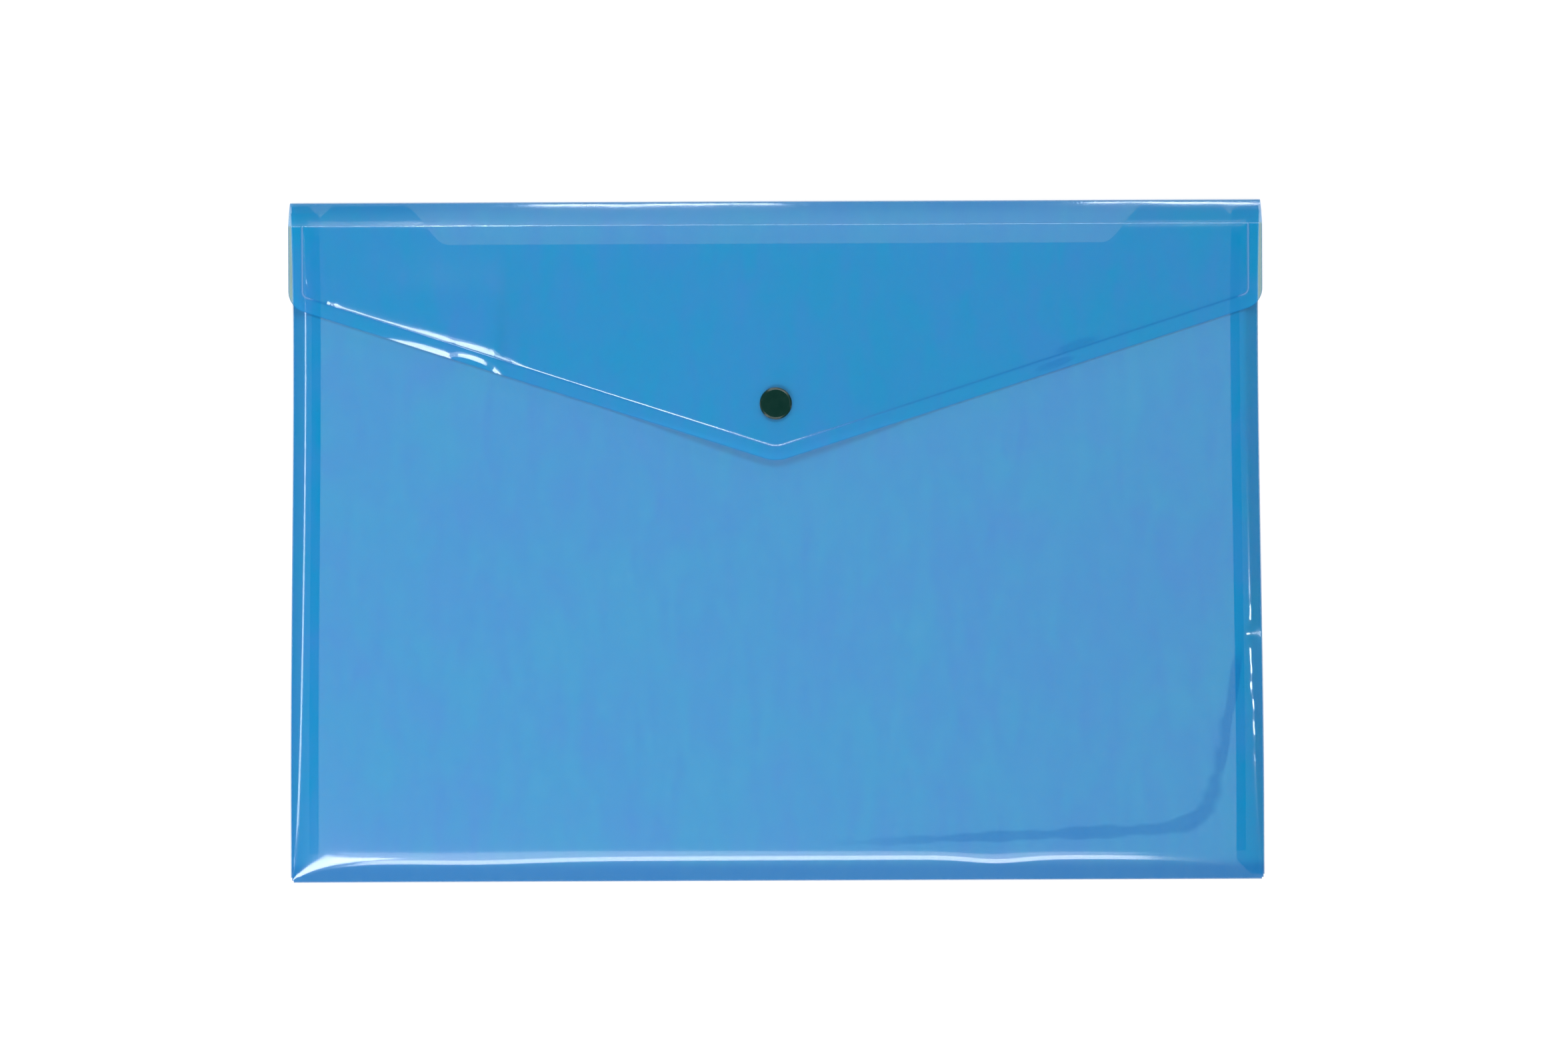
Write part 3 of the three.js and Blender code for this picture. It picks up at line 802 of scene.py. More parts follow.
def spine_surface(s):
    """Outer face of the top fold and of the spine strip, which is a little hollow on the inside."""
    turn = s.spine_slope + SPINE_CURVE
    angles = np.linspace(-math.pi / 2, math.pi / 2 - turn, TOP_FOLD_ROWS)
    fold_y = s.top_line + TOP_FOLD_RADIUS * np.cos(angles)
    fold_z = TOP_FOLD_RADIUS * (1 + np.sin(angles))
    fold = np.stack([fold_y, fold_z], axis=1)
    first = fold[-1]
    last = np.array(spine_point(s, "crease", s.sheet))
    across = steps(-s.half_flap, s.half_flap, SPINE_SPACING)
    rows = [np.tile(point, (len(across), 1)) for point in fold]
    # A wave along the strip makes the lamps' reflections wander.
    wave = SPINE_WAVE * sum(share * np.sin(across / length + start) for share, length, start in SPINE_WAVES)
    swell = np.linalg.norm(last - first) * math.tan(SPINE_CURVE) / 2 + wave
    bend = (first + last) / 2 + swell[:, None] * np.array([math.sin(s.spine_slope), math.cos(s.spine_slope)])
    for t in np.linspace(0, 1, SPINE_ROWS)[1:]:
        rows.append((1 - t) ** 2 * first + 2 * t * (1 - t) * bend + t * t * last)
    profile = np.array(rows)
    grid = np.zeros((len(rows), len(across), 3))
    grid[:, :, 0] = across[None, :]
    grid[:, :, 1:] = profile
    kept = np.ones((len(rows) - 1, len(across) - 1), bool)
    return grid.reshape(-1, 3), grid_faces(kept)


def band_faces(above, below):
    """Four-cornered faces between two rows of point numbers."""
    return np.stack([above[:-1], below[:-1], below[1:], above[1:]], axis=1)


def flap_border(s, outline, sizes, down):
    """Rows of border points, one row for each place along the free edge, from left to right."""
    right, right_in = outline.lower_half()
    lower = np.concatenate([right[:0:-1] * (-1, 1), right])
    lower_in = np.concatenate([right_in[:0:-1] * (-1, 1), right_in])
    left = np.stack([np.full(len(down), -outline.half), mix(s.crease_line, lower[0, 1], down)], axis=1)
    sideways = np.tile([1.0, 0.0], (len(left) - 1, 1))
    edge = np.concatenate([left[:-1], lower, left[-2::-1] * (-1, 1)])
    edge_in = np.concatenate([sideways, lower_in, -sideways])
    inset = np.array(BORDER_STEPS) * MM
    flat = edge[:, None, :] + inset[None, :, None] * edge_in[:, None, :]
    z = flap_top(s, outline, sizes, flat[:, :, 0], flat[:, :, 1], inset[None, :])
    return np.concatenate([flat, z[:, :, None]], axis=2), inset


def flap_surface(s, outline, sizes):
    """Outer face of the crease and the flap: a border along the free edge, and a grid inside it."""
    down = 1 - (1 - np.linspace(0, 1, FLAP_ROWS)) ** 1.5
    strip, inset = flap_border(s, outline, sizes, down)
    rim, insets = strip.shape[:2]
    cells = len(down) - 1
    border = np.arange(rim * insets).reshape(rim, insets)

    # The inner grid shares the border's innermost points along three of its sides.
    bottom = strip[cells : rim - cells, -1]
    inner_x = np.tile(bottom[1:-1, 0], cells)
    inner_y = mix(s.crease_line, bottom[1:-1, 1], down[:-1, None]).ravel()
    inner_z = flap_top(s, outline, sizes, inner_x, inner_y, np.full(len(inner_x), 2 * BORDER_REACH))
    points = np.concatenate([strip.reshape(-1, 3), np.column_stack([inner_x, inner_y, inner_z])])
    number = np.zeros((cells + 1, len(bottom)), int)
    number[:-1, 1:-1] = border.size + np.arange(len(inner_x)).reshape(cells, -1)
    number[:, 0] = border[: cells + 1, -1]
    number[:, -1] = border[: rim - cells - 2 : -1, -1]
    number[-1] = border[cells : rim - cells, -1]
    faces = [band_faces(*pair) for grid in (border, number) for pair in zip(grid, grid[1:])]

    # The crease goes on from the grid's first row.
    row = np.concatenate([border[0, :-1], number[0], border[-1, -2::-1]])
    row_x = points[row, 0]
    outer = CREASE_RADIUS + s.sheet
    for angle in np.linspace(math.pi / 2, math.pi / 2 - s.spine_slope, CREASE_ROWS)[1:]:
        y = np.full(len(row), s.crease_line + outer * math.cos(angle))
        z = np.full(len(row), s.crease_centre + outer * math.sin(angle))
        new = np.arange(len(points), len(points) + len(row))
        points = np.concatenate([points, np.stack([row_x, y, z], axis=1)])
        faces.append(band_faces(new, row))
        row = new
    inset_of = np.full(len(points), 2 * BORDER_REACH)
    inset_of[: border.size] = np.tile(inset, rim)
    return points, np.concatenate(faces), inset_of


def weld_shape(s, side):
    """The ribbed seam that joins a side tab to the back."""
    low, high = WELD_LOW.y, WELD_HIGH.y
    along = steps(low, high, WELD_PITCH / 6)
    wave = 0.5 - 0.5 * np.cos((along - low) / WELD_PITCH * 2 * math.pi)
    inner = side * (s.half_width - TAB_WIDTH) * drawn(s, along)
    outer = side * (s.half_width - TAB_WIDTH + WELD_WIDTH) * drawn(s, along)
    base = WELD_LOW.z + SEAM
    top = WELD_HIGH.z - SEAM - WELD_RIB * wave
    foot = base + 0 * top
    edge = base + WELD_SHOULDER * (top - base)
    rising = [(0.0, foot), (0.0, edge), (WELD_BEVEL, top)]
    profile = rising + [(1 - share, z) for share, z in rising[::-1]]
    grid = np.array([np.stack([mix(inner, outer, t), along, z], axis=1) for t, z in profile])
    count = len(along)
    faces = grid_faces(np.ones((len(profile) - 1, count - 1), bool)).tolist()
    last = (len(profile) - 1) * count
    faces += [[last + i, last + i + 1, i + 1, i] for i in range(count - 1)]
    faces.append([k * count for k in range(len(profile))])
    faces.append([k * count + count - 1 for k in range(len(profile))][::-1])
    return grid.reshape(-1, 3), faces


def rounded(profile, radius):
    """A turned profile with its corners rounded off."""
    result = [profile[0]]
    for before, corner, after in zip(profile, profile[1:], profile[2:]):
        corner = np.array(corner, float)
        back = np.array(before, float) - corner
        ahead = np.array(after, float) - corner
        cut = min(radius, 0.45 * np.linalg.norm(back), 0.45 * np.linalg.norm(ahead))
        start = corner + back / np.linalg.norm(back) * cut
        end = corner + ahead / np.linalg.norm(ahead) * cut
        for t in np.linspace(0, 1, 6):
            result.append(tuple((1 - t) ** 2 * start + 2 * t * (1 - t) * corner + t * t * end))
    result.append(profile[-1])
    return result


def turned(profile, segments=TURNED_SEGMENTS):
    """Points and faces of a profile of (radius, height) turned round the Z axis."""
    points = []
    rings = []
    for radius, height in profile:
        start = len(points)
        if radius < 1e-9:
            points.append((0.0, 0.0, height))
            rings.append([start] * segments)
            continue
        for k in range(segments):
            angle = 2 * math.pi * k / segments
            points.append((radius * math.cos(angle), radius * math.sin(angle), height))
        rings.append([start + k for k in range(segments)])
    faces = []
    for a, b in zip(rings, rings[1:]):
        for k in range(segments):
            n = (k + 1) % segments
            corners = [a[k], a[n], b[n], b[k]]
            faces.append([c for i, c in enumerate(corners) if c not in corners[:i]])
    return np.array(points), [f for f in faces if len(f) > 2]


def add_turned(name, profile, material, body, node):
    """Adds a turned piece of the press stud at its place."""
    points, faces = turned(profile)
    points[:, 1] += POPPER_Y
    piece = add_mesh(name, points, faces, material, "popper_plastic")
    piece.data.shade_smooth()
    piece.data.set_sharp_from_angle(angle=SHARP_EDGE)
    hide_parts(node)
    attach(piece, body)
    return piece


def mark(piece, name, values):
    """Writes a value from 0 to 1 at each point of a piece, for its material to read."""
    attribute = piece.data.attributes.new(name, "FLOAT", "POINT")
    attribute.data.foreach_set("value", values.astype(np.float32))


def node(tree, kind, **values):
    """Adds a shader node and sets its settings and inputs."""
    made = tree.nodes.new(kind)
    for key, value in values.items():
        if key in made.inputs:
            made.inputs[key].default_value = value
        else:
            setattr(made, key, value)
    return made


def feed(tree, value, target):
    """Links a socket to an input, or sets the input to a plain value."""
    if isinstance(value, bpy.types.NodeSocket):
        tree.links.new(value, target)
    else:
        target.default_value = value


def maths(tree, operation, *values, clamp=False):
    """Adds a Math node and gives its result."""
    made = node(tree, "ShaderNodeMath", operation=operation, use_clamp=clamp)
    for value, target in zip(values, made.inputs):
        feed(tree, value, target)
    return made.outputs[0]


def colour_mix(tree, share, low, high):
    """Adds a colour mix and gives its result."""
    made = node(tree, "ShaderNodeMix", data_type="RGBA")
    # Inputs 6 and 7 and output 2 are the ones for colours.
    for value, number in ((share, 0), (low, 6), (high, 7)):
        feed(tree, value, made.inputs[number])
    return made.outputs[2]


def noise(tree, place, scale, detail, roughness=0.5, distortion=0.0):
    """Adds a noise texture and gives its value."""
    values = {"Scale": scale, "Detail": detail, "Roughness": roughness, "Distortion": distortion}
    made = node(tree, "ShaderNodeTexNoise", **values)
    tree.links.new(place, made.inputs["Vector"])
    return made.outputs["Fac"]


def new_group(name, inputs, outputs):
    """Adds a shader node group with named inputs and outputs, and gives what stands at both its ends."""
    group = bpy.data.node_groups.new(name, "ShaderNodeTree")
    for direction, titles in (("INPUT", inputs), ("OUTPUT", outputs)):
        for title in titles:
            kind = "NodeSocketColor" if title.lower().endswith("colour") else "NodeSocketFloat"
            group.interface.new_socket(name=title, in_out=direction, socket_type=kind)
    given = node(group, "NodeGroupInput").outputs
    put_out = node(group, "NodeGroupOutput").inputs
    place = node(group, "ShaderNodeTexCoord").outputs["Object"]
    return group, given, put_out, place


def cloudy_sheet_group():
    """Colour, opacity, roughness and fine height of the cloudy sheet, built once."""
    name = "Cloudy sheet"
    if name in bpy.data.node_groups:
        return bpy.data.node_groups[name]
    colours = ("Sheet colour", "Cloud colour", "Bare colour", "Contact colour", "Whitened colour")
    values = ("Bare", "Contact", "Whitened", "Opacity", "Roughness", "Haze")
    results = ("Colour", "Opacity", "Roughness", "Height")
    group, given, put_out, place = new_group(name, colours + values, results)

    # Marbled clouds, and upright streaks
    clouds = noise(group, place, CLOUD_SCALE, 6.0, 0.58, 0.6)
    stretch = node(group, "ShaderNodeMapping", Scale=STREAK_SCALE)
    group.links.new(place, stretch.inputs["Vector"])
    streaks = noise(group, stretch.outputs["Vector"], 1.0, 3.0, 0.55, 0.5)
    streaks = maths(group, "MULTIPLY", streaks, 1 - CLOUD_SHARE)
    cloudy = maths(group, "MULTIPLY_ADD", clouds, CLOUD_SHARE, streaks)
    centred = maths(group, "SUBTRACT", cloudy, 0.5)
    haze = maths(group, "MULTIPLY", centred, given["Haze"])

    # The colour turns paler with the haze, greyer where painted shade stands for the shadowed floor behind a
    # single sheet, deeper where sheets cling and where shade is painted, and pale where the score line is
    # whitened and a highlight is painted.
    share = maths(group, "MULTIPLY_ADD", haze, CLOUD_CONTRAST, CLOUD_COVER, clamp=True)
    colour = colour_mix(group, share, given["Sheet colour"], given["Cloud colour"])
    for word in ("Bare", "Contact", "Whitened"):
        colour = colour_mix(group, given[word], colour, given[f"{word} colour"])
    group.links.new(colour, put_out["Colour"])

    opacity = maths(group, "MULTIPLY_ADD", haze, HAZE_OPACITY, given["Opacity"])
    denser = maths(group, "MULTIPLY_ADD", given["Contact"], CONTACT_AND_SHADE_OPACITY, opacity, clamp=True)
    group.links.new(denser, put_out["Opacity"])
    rough = maths(group, "MULTIPLY_ADD", haze, HAZE_ROUGHNESS, given["Roughness"])
    group.links.new(rough, put_out["Roughness"])
    group.links.new(noise(group, place, SATIN_SCALE, 2.0, 0.6), put_out["Height"])
    return group


def moulded_group():
    """Colour, roughness and fine height of moulded plastic, built once."""
    name = "Moulded plastic"
    if name in bpy.data.node_groups:
        return bpy.data.node_groups[name]
    results = ("Colour", "Roughness", "Height")
    group, given, put_out, place = new_group(name, ("Plastic colour", "Variation"), results)
    centred = maths(group, "SUBTRACT", noise(group, place, FLOW_SCALE, 3.0, 0.6), 0.5)
    shade = node(group, "ShaderNodeHueSaturation")
    change = maths(group, "MULTIPLY_ADD", centred, given["Variation"], 1.0)
    group.links.new(change, shade.inputs["Value"])
    group.links.new(given["Plastic colour"], shade.inputs["Color"])
    group.links.new(shade.outputs["Color"], put_out["Colour"])
    rough = maths(group, "MULTIPLY_ADD", centred, MOULD_UNEVENNESS, MOULD_ROUGHNESS)
    group.links.new(rough, put_out["Roughness"])
    group.links.new(noise(group, place, MOULD_SCALE, 1.0), put_out["Height"])
    return group


def plastic_material(name, group, given, fixed, bump, depth):
    """A plastic. Its group gives what changes over the surface, and fixed values stand on the shader."""
    if name in bpy.data.materials:
        return bpy.data.materials[name]
    material = bpy.data.materials.new(name)
    material.use_nodes = True
    tree = material.node_tree
    shader = tree.nodes["Principled BSDF"]
    for title, value in fixed.items():
        shader.inputs[title].default_value = value
    effect = node(tree, "ShaderNodeGroup", node_tree=group)
    for title, value in given.items():
        effect.inputs[title].default_value = (*value, 1) if title.endswith("colour") else value
    targets = {"Colour": "Base Color", "Opacity": "Alpha", "Roughness": "Roughness"}
    for title in effect.outputs.keys():
        if title in targets:
            tree.links.new(effect.outputs[title], shader.inputs[targets[title]])
    grain = node(tree, "ShaderNodeBump", Strength=bump, Distance=depth)
    tree.links.new(effect.outputs["Height"], grain.inputs["Height"])
    tree.links.new(grain.outputs["Normal"], shader.inputs["Normal"])
    # The meshes carry values of these names, from 0 to 1.
    for word in ("Contact", "Bare", "Whitened"):
        if word in effect.inputs:
            value = node(tree, "ShaderNodeAttribute", attribute_name=word.lower())
            tree.links.new(value.outputs["Fac"], effect.inputs[word])
    return material


def sheet_material(name, colour, opacity, bump):
    """Tinted translucent plastic with a glossy surface."""
    finish = bpy.context.scene.folder_finish
    given = {
        "Sheet colour": colour,
        "Cloud colour": finish.cloud_colour,
        "Bare colour": finish.bare_and_shadowed_colour,
        "Contact colour": finish.contact_and_shade_colour,
        "Whitened colour": finish.whitened_and_highlit_colour,
        "Opacity": opacity,
        "Roughness": finish.roughness,
        "Haze": finish.haze,
    }
    fixed = {"Specular IOR Level": 0.6, "Coat Weight": 1.0, "Coat Roughness": 0.08, "Coat IOR": 1.8}
    return plastic_material(name, cloudy_sheet_group(), given, fixed, bump, SATIN_DEPTH)


def blue_sheet():
    """The material of the pocket, the spine strip and the flap."""
    finish = bpy.context.scene.folder_finish
    return sheet_material("Blue sheet", finish.sheet_colour, finish.opacity, 0.3)


def blue_weld():
    """The material of the melted seams, denser than the sheet."""
    finish = bpy.context.scene.folder_finish
    return sheet_material("Blue weld", finish.weld_colour, WELD_OPACITY, 0.6)


def popper_plastic():
    """Glossy dark moulded plastic."""
    given = {"Plastic colour": bpy.context.scene.folder_finish.popper_colour, "Variation": 0.35}
    fixed = {"Coat Weight": 0.2, "Coat Roughness": 0.1}
    return plastic_material("Dark green plastic", moulded_group(), given, fixed, 0.15, MOULD_DEPTH)


class FOLDER_OT_pocket_sheet(bpy.types.Operator):
    """Add the sheet that makes the back, the bottom fold, the front, the side folds and the tabs"""

    bl_idname = "folder.pocket_sheet"
    bl_label = "Pocket Sheet"

    def execute(self, context):
        s = layout(context.scene.folder_sizes)
        points, faces = pocket_surface(s)
        piece = add_mesh("pocket_sheet", points, faces, blue_sheet(), "clear_blue_sheet")
        mark(piece, "contact", front_contact_and_shade(s, points[:, 0], points[:, 1], points[:, 2]))
        thicken(piece, s.sheet)
        post = POST_DIAMETER / 2 + POST_FIT
        level = float(front_top(s, 0.0, s.popper_y))
        punch(piece, post, s.popper_y, level - 2 * s.sheet, level + s.sheet)
        folds = [f"{side}_side_{part}" for side in ("left", "right") for part in ("fold", "tab")]
        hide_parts("back_panel", "front_panel", "bottom_fold", *folds)
        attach(piece, "pocket")
        return {"FINISHED"}


def front_contact_and_shade(s, x, y, z):
    """Where the front clings to what lies under it, and the painted shade that darkens the folds' sloping
    strips.
    """
    # Painted shade: the sloping strips by the bottom fold and the side folds are darkened, the left more than
    # the right.
    bottom = BOTTOM_FOLD_SHADE * (1 - smooth(2 * (y - s.bottom) / BOTTOM_BAND - 1))
    side = np.where(x < 0, LEFT_FOLD_SHADE, RIGHT_FOLD_SHADE)
    side = side * (1 - smooth((s.half_width * drawn(s, y) - np.abs(x)) / SIDE_BAND))
    return np.where(z > s.edge_top / 2, np.maximum(contact_band(x, y), np.maximum(bottom, side)), 0)


def contact_band(x, y):
    """The curved band at the lower right where the front clings to what lies under it."""
    upright = BAND_CORNER_X + BAND_LEAN * (y - BAND_CORNER_Y) - x
    level = y - BAND_CORNER_Y - BAND_SAG * (BAND_CORNER_X - x)
    inside = -BAND_CORNER * np.log(np.exp(-upright / BAND_CORNER) + np.exp(-level / BAND_CORNER))
    ripple = sum(share * np.sin(x / along + y / up) for share, along, up in BAND_RIPPLES)
    growth = mix(BAND_FIRST_WIDTH, 1, smooth((x - BAND_START_X) / BAND_GROWTH))
    fade = smooth((x - BAND_START_X) / BAND_FADE) * smooth((BAND_TOP_Y - y) / BAND_TOP_FADE)
    width = BAND_WIDTH * (growth + ripple)
    return BAND_TINT * fade * smooth((width - np.abs(inside)) / BAND_SOFTNESS)


class FOLDER_OT_weld_seams(bpy.types.Operator):
    """Add the ribbed seam that joins each side tab to the back"""

    bl_idname = "folder.weld_seams"
    bl_label = "Weld Seams"

    def execute(self, context):
        s = layout(context.scene.folder_sizes)
        for word, side in (("left", -1), ("right", 1)):
            points, faces = weld_shape(s, side)
            if side < 0:
                faces = [f[::-1] for f in faces]
            piece = add_mesh(f"{word}_weld", points, faces, blue_weld(), "weld_seam")
            piece.data.shade_smooth()
            piece.data.set_sharp_from_angle(angle=SHARP_EDGE)
            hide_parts(f"{word}_weld_seam")
            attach(piece, "pocket")
        return {"FINISHED"}


class FOLDER_OT_spine_sheet(bpy.types.Operator):
    """Add the top fold and the spine strip"""

    bl_idname = "folder.spine_sheet"
    bl_label = "Spine Sheet"

    def execute(self, context):
        s = layout(context.scene.folder_sizes)
        points, faces = spine_surface(s)
        piece = add_mesh("spine_sheet", points, faces[:, ::-1], blue_sheet(), "clear_blue_sheet")
        # Painted shade: the spine strip is darkened beside the top fold.
        mark(piece, "contact", SPINE_SHADE * (1 - smooth((s.top - points[:, 1]) / SPINE_SHADE_BAND - 0.5)))
        thicken(piece, s.sheet)
        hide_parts("top_fold", "spine_strip")
        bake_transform(piece)
        return {"FINISHED"}


class FOLDER_OT_flap_sheet(bpy.types.Operator):
    """Add the crease and the flap, with its score line and its lifted border"""

    bl_idname = "folder.flap_sheet"
    bl_label = "Flap Sheet"

    def execute(self, context):
        sizes = context.scene.folder_sizes
        s = layout(sizes)
        outline = Outline(s)
        points, faces, inset = flap_surface(s, outline, sizes)
        piece = add_mesh("flap_sheet", points, faces, blue_sheet(), "clear_blue_sheet")
        x, y = points[:, 0], points[:, 1]
        # Painted shade in the score groove, a darker free edge that is partly painted shadow, and the real
        # dark lenses where the flap clings.
        score_shade = SCORE_SHADE * np.exp(-(((inset - SCORE_INSET) / SCORE_WIDTH) ** 2))
        edge = EDGE_TINT_AND_SHADOW * (1 - smooth(inset / EDGE_WIDTH))
        cling_and_shade = np.maximum(CLING_TINT * cling_lenses(outline, x, y), np.maximum(score_shade, edge))
        mark(piece, "contact", cling_and_shade)
        # The pale score line is partly stress whitening and partly a painted highlight.
        mark(piece, "whitened", whitening_and_highlight(outline, x, inset))
        # Painted shade: where the flap overhangs the pocket, the single sheet turns greyer, standing in for
        # the shadowed floor behind it.
        overhang = np.abs(x) - s.half_width * drawn(s, y) + BARE_WIDTH
        mark(piece, "bare", smooth(overhang / BARE_SOFTNESS))
        thicken(piece, s.sheet)
        post = POST_DIAMETER / 2 + POST_FIT
        level = float(flap_under(s, 0.0, s.popper_y))
        punch(piece, post, s.popper_y, level - s.sheet, level + 2 * s.sheet)
        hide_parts("flap_crease", "flap_panel")
        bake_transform(piece)
        return {"FINISHED"}


def whitening_and_highlight(outline, x, inset):
    """How pale the score line is, partly from stress whitening and partly as a painted highlight: along both
    sides, and fading away from the tip.
    """
    sides = WHITE_SIDES * smooth((np.abs(x) - outline.corner_x + WHITE_START) / WHITE_FADE)
    tip = WHITE_TIP * np.exp(-((x / WHITE_TIP_REACH) ** 2))
    return np.maximum(sides, tip) * np.exp(-(((inset - SCORE_INSET) / WHITE_WIDTH) ** 2))


def cling_lenses(outline, x, y):
    """Dark lenses by the score line on the right, where the flap clings to the front."""
    inset = (y - outline.slanted(x)) * math.cos(outline.angle)
    total = 0 * x
    for place, place_inset, reach, depth in CLING_LENSES:
        away = np.hypot((x - place) / reach, (inset - place_inset) / depth)
        total = np.maximum(total, smooth((LENS_RIM - away) / LENS_SOFTNESS))
    return total


def cap_profile(round_edge):
    """The cap from its post to the middle of its face."""
    post = POST_DIAMETER / 2
    top = CAP_HIGH.z
    under = top - CAP_THICKNESS
    radius = CAP_HIGH.x
    cap = [(0, CAP_LOW.z), (post, CAP_LOW.z), (post, under)]
    cap += [(radius - CAP_CHAMFER, under), (radius, under + CAP_CHAMFER)]
    for t in np.linspace(0, math.pi / 2, 10):
        cap.append((radius - round_edge * (1 - math.cos(t)), top - round_edge * (1 - math.sin(t))))
    # A fine groove lies inside the rim, and the face inside it is a little lower.
    face = top - 0.3 * CAP_GROOVE
    levels = (top, top - CAP_GROOVE, face, face, face)
    cap += [(radius - round_edge - inward, level) for inward, level in zip(CAP_RINGS, levels)]
    return cap + [(0, face)]


def socket_profile(hole):
    """The ring round the cavity that the ball snaps into, with a web at its top."""
    radius, low, high = SOCKET_HIGH.x, SOCKET_LOW.z, SOCKET_HIGH.z
    cavity = BALL_DIAMETER / 2 + BALL_PLAY
    web = high - SOCKET_WEB
    ring = [(hole, high), (hole, web), (cavity, web), (cavity, low)]
    ring += [(radius, low), (radius, high), (hole, high)]
    return rounded(ring, 0.2 * MM)


def stud_profile(hole):
    """The flange and the ball on its neck, hollow where the back's post goes in."""
    radius, low, high = STUD_HIGH.x, STUD_LOW.z, STUD_HIGH.z
    ball = BALL_DIAMETER / 2
    ceiling = low + BACK_POST_RISE + POST_FIT
    flange = low + STUD_FLANGE
    shoulder = mix(flange, high, 0.5)
    stud = [(0, ceiling), (hole, ceiling), (hole, low), (radius, low), (radius, flange)]
    stud += [(BALL_NECK / 2, flange), (ball, shoulder), (ball - (high - shoulder) / 2, high), (0, high)]
    return rounded(stud, 0.18 * MM)


def stud_back_profile():
    """The button inside the pocket, and its post."""
    radius, low, high = STUD_BACK_HIGH.x, STUD_BACK_LOW.z, STUD_BACK_HIGH.z
    post = POST_DIAMETER / 2
    top = low + BACK_THICKNESS
    return rounded([(0, low), (radius, low), (radius, top), (post, top), (post, high), (0, high)], 0.2 * MM)


class FOLDER_OT_press_stud(bpy.types.Operator):
    """Add the press stud: the cap and the socket on the flap, and the stud and its back on the pocket"""

    bl_idname = "folder.press_stud"
    bl_label = "Press Stud"

    def execute(self, context):
        plastic = popper_plastic()
        hole = POST_DIAMETER / 2 + POST_FIT
        cap = cap_profile(context.scene.folder_sizes.cap_round)
        add_turned("popper_cap_shell", cap, plastic, "flap", "popper_cap")
        add_turned("popper_socket_ring", socket_profile(hole), plastic, "flap", "popper_socket")
        add_turned("popper_ball_stud", stud_profile(hole), plastic, "pocket", "popper_stud")
        add_turned("popper_stud_button", stud_back_profile(), plastic, "pocket", "popper_stud_back")
        return {"FINISHED"}


def floor_material():
    """Pale floor. The camera, mirrors and clear plastic see it white, and it keeps the folder's shadow."""
    material = bpy.data.materials.new("Studio floor")
    material.use_nodes = True
    tree = material.node_tree
    shader = tree.nodes["Principled BSDF"]
    shader.inputs["Roughness"].default_value = 0.9
    shader.inputs["Specular IOR Level"].default_value = 0.0
    shader.inputs["Emission Strength"].default_value = 1.0
    path = node(tree, "ShaderNodeLightPath").outputs
    seen = maths(tree, "MAXIMUM", path["Is Camera Ray"], path["Is Glossy Ray"])
    seen = maths(tree, "MAXIMUM", seen, path["Is Transmission Ray"])
    tree.links.new(colour_mix(tree, seen, FLOOR_LIT, FLOOR_SEEN), shader.inputs["Base Color"])
    tree.links.new(colour_mix(tree, seen, BLACK, FLOOR_GLOW), shader.inputs["Emission Color"])
    return material


def add_softbox(name, place, size, brightness):
    """Adds a rectangular softbox that points at the folder. size is its width and its height."""
    lamp = bpy.data.lights.new(name, "AREA")
    lamp.shape = "RECTANGLE"
    lamp.size, lamp.size_y = size
    lamp.energy = brightness * math.pi * size[0] * size[1]
    piece = bpy.data.objects.new(name, lamp)
    bpy.context.scene.collection.objects.link(piece)
    piece.location = place
    piece.rotation_euler = (-Vector(place)).to_track_quat("-Z", "Y").to_euler()


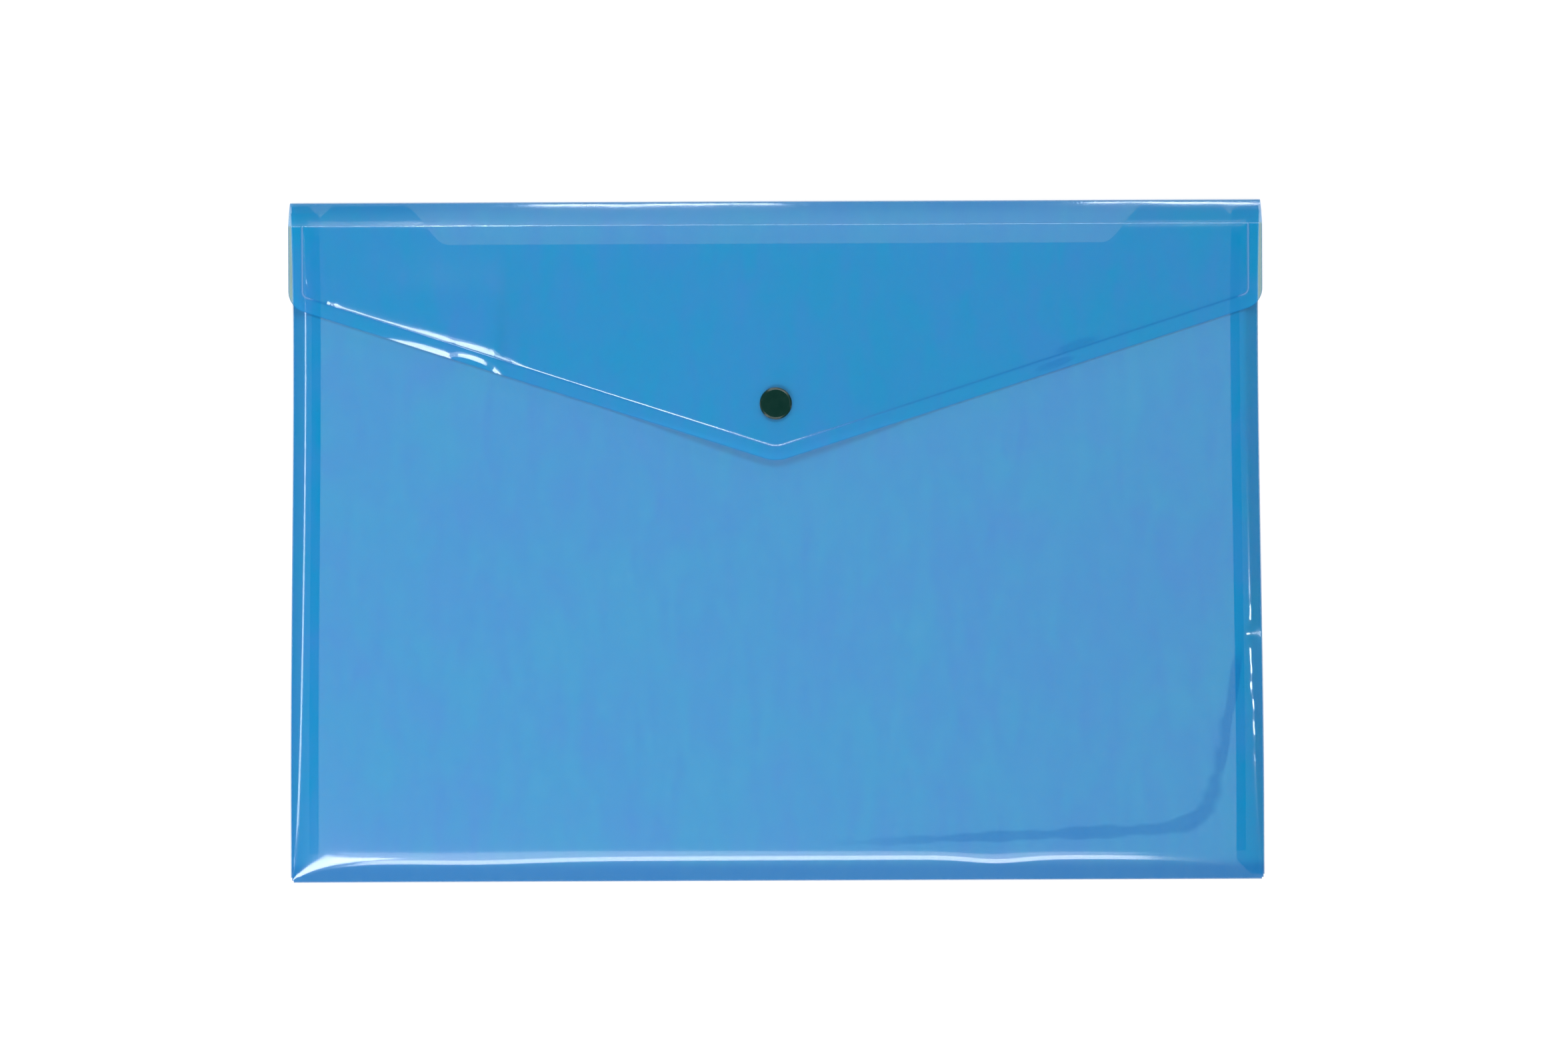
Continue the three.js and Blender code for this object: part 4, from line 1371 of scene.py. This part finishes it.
class FOLDER_OT_stage(bpy.types.Operator):
    """Add the floor, the softboxes, the room light and the camera above the folder"""

    bl_idname = "folder.stage"
    bl_label = "Stage"

    def execute(self, context):
        stage = context.scene.folder_stage
        half = FLOOR_SIZE / 2
        floor_mesh = bpy.data.meshes.new("studio_floor")
        corners = [(x * half, y * half, -FLOOR_GAP) for x, y in ((-1, -1), (1, -1), (1, 1), (-1, 1))]
        floor_mesh.from_pydata(corners, [], [(0, 1, 2, 3)])
        floor_mesh.materials.append(floor_material())
        floor = bpy.data.objects.new("studio_floor", floor_mesh)
        context.scene.collection.objects.link(floor)

        for name, place, size, share in SOFTBOXES:
            add_softbox(name, place, size, share * stage.gleam)
        add_softbox("key_softbox", KEY_PLACE, KEY_SIZE, stage.key_light)

        world = bpy.data.worlds.new("Room")
        world.use_nodes = True
        background = world.node_tree.nodes["Background"]
        background.inputs["Color"].default_value = (1, 1, 1, 1)
        background.inputs["Strength"].default_value = stage.room_light
        context.scene.world = world

        camera = bpy.data.objects.new("camera", bpy.data.cameras.new("camera"))
        context.scene.collection.objects.link(camera)
        camera.data.lens = CAMERA_LENS
        camera.data.sensor_width = CAMERA_SENSOR
        frame_width = PHOTO_WIDTH / PHOTO_SCALE
        height = frame_width * CAMERA_LENS / CAMERA_SENSOR
        camera.location = (
            (PHOTO_CENTRE_X - FOLDER_CENTRE_X) / PHOTO_SCALE,
            (FOLDER_CENTRE_Y - PHOTO_CENTRE_Y) / PHOTO_SCALE,
            height,
        )
        camera.rotation_euler = (0, 0, CAMERA_ROLL)
        context.scene.camera = camera
        context.scene.view_settings.view_transform = "Standard"
        # The folds' layers of clear sheet lie close behind each other.
        context.scene.cycles.transparent_max_bounces = 32
        return {"FINISHED"}


class VIEW3D_PT_folder(bpy.types.Panel):
    """Sizes, finish and pieces of the folder"""

    bl_label = "Seminar Folder"
    bl_space_type = "VIEW_3D"
    bl_region_type = "UI"
    bl_category = "Folder"

    def draw(self, context):
        column = self.layout.column()
        for group in (context.scene.folder_sizes, context.scene.folder_finish, context.scene.folder_stage):
            for name in group.__annotations__:
                column.prop(group, name)
        for operator in OPERATORS:
            column.operator(operator.bl_idname)


OPERATORS = (
    FOLDER_OT_stage,
    FOLDER_OT_pocket_sheet,
    FOLDER_OT_weld_seams,
    FOLDER_OT_spine_sheet,
    FOLDER_OT_flap_sheet,
    FOLDER_OT_press_stud,
)
CLASSES = (FolderSizes, FolderFinish, FolderStage, *OPERATORS, VIEW3D_PT_folder)


def register():
    """Registers the classes and gives the scene its settings."""
    for made in CLASSES:
        bpy.utils.register_class(made)
    bpy.types.Scene.folder_sizes = bpy.props.PointerProperty(type=FolderSizes)
    bpy.types.Scene.folder_finish = bpy.props.PointerProperty(type=FolderFinish)
    bpy.types.Scene.folder_stage = bpy.props.PointerProperty(type=FolderStage)


def unregister():
    """Takes the settings and the classes away again."""
    del bpy.types.Scene.folder_stage
    del bpy.types.Scene.folder_finish
    del bpy.types.Scene.folder_sizes
    for made in reversed(CLASSES):
        bpy.utils.unregister_class(made)


def main():
    """Builds the folder and its stage."""
    register()
    bpy.ops.folder.stage()
    bpy.ops.folder.pocket_sheet()
    bpy.ops.folder.weld_seams()
    bpy.ops.folder.spine_sheet()
    bpy.ops.folder.flap_sheet()
    bpy.ops.folder.press_stud()


if __name__ == "__main__":
    main()
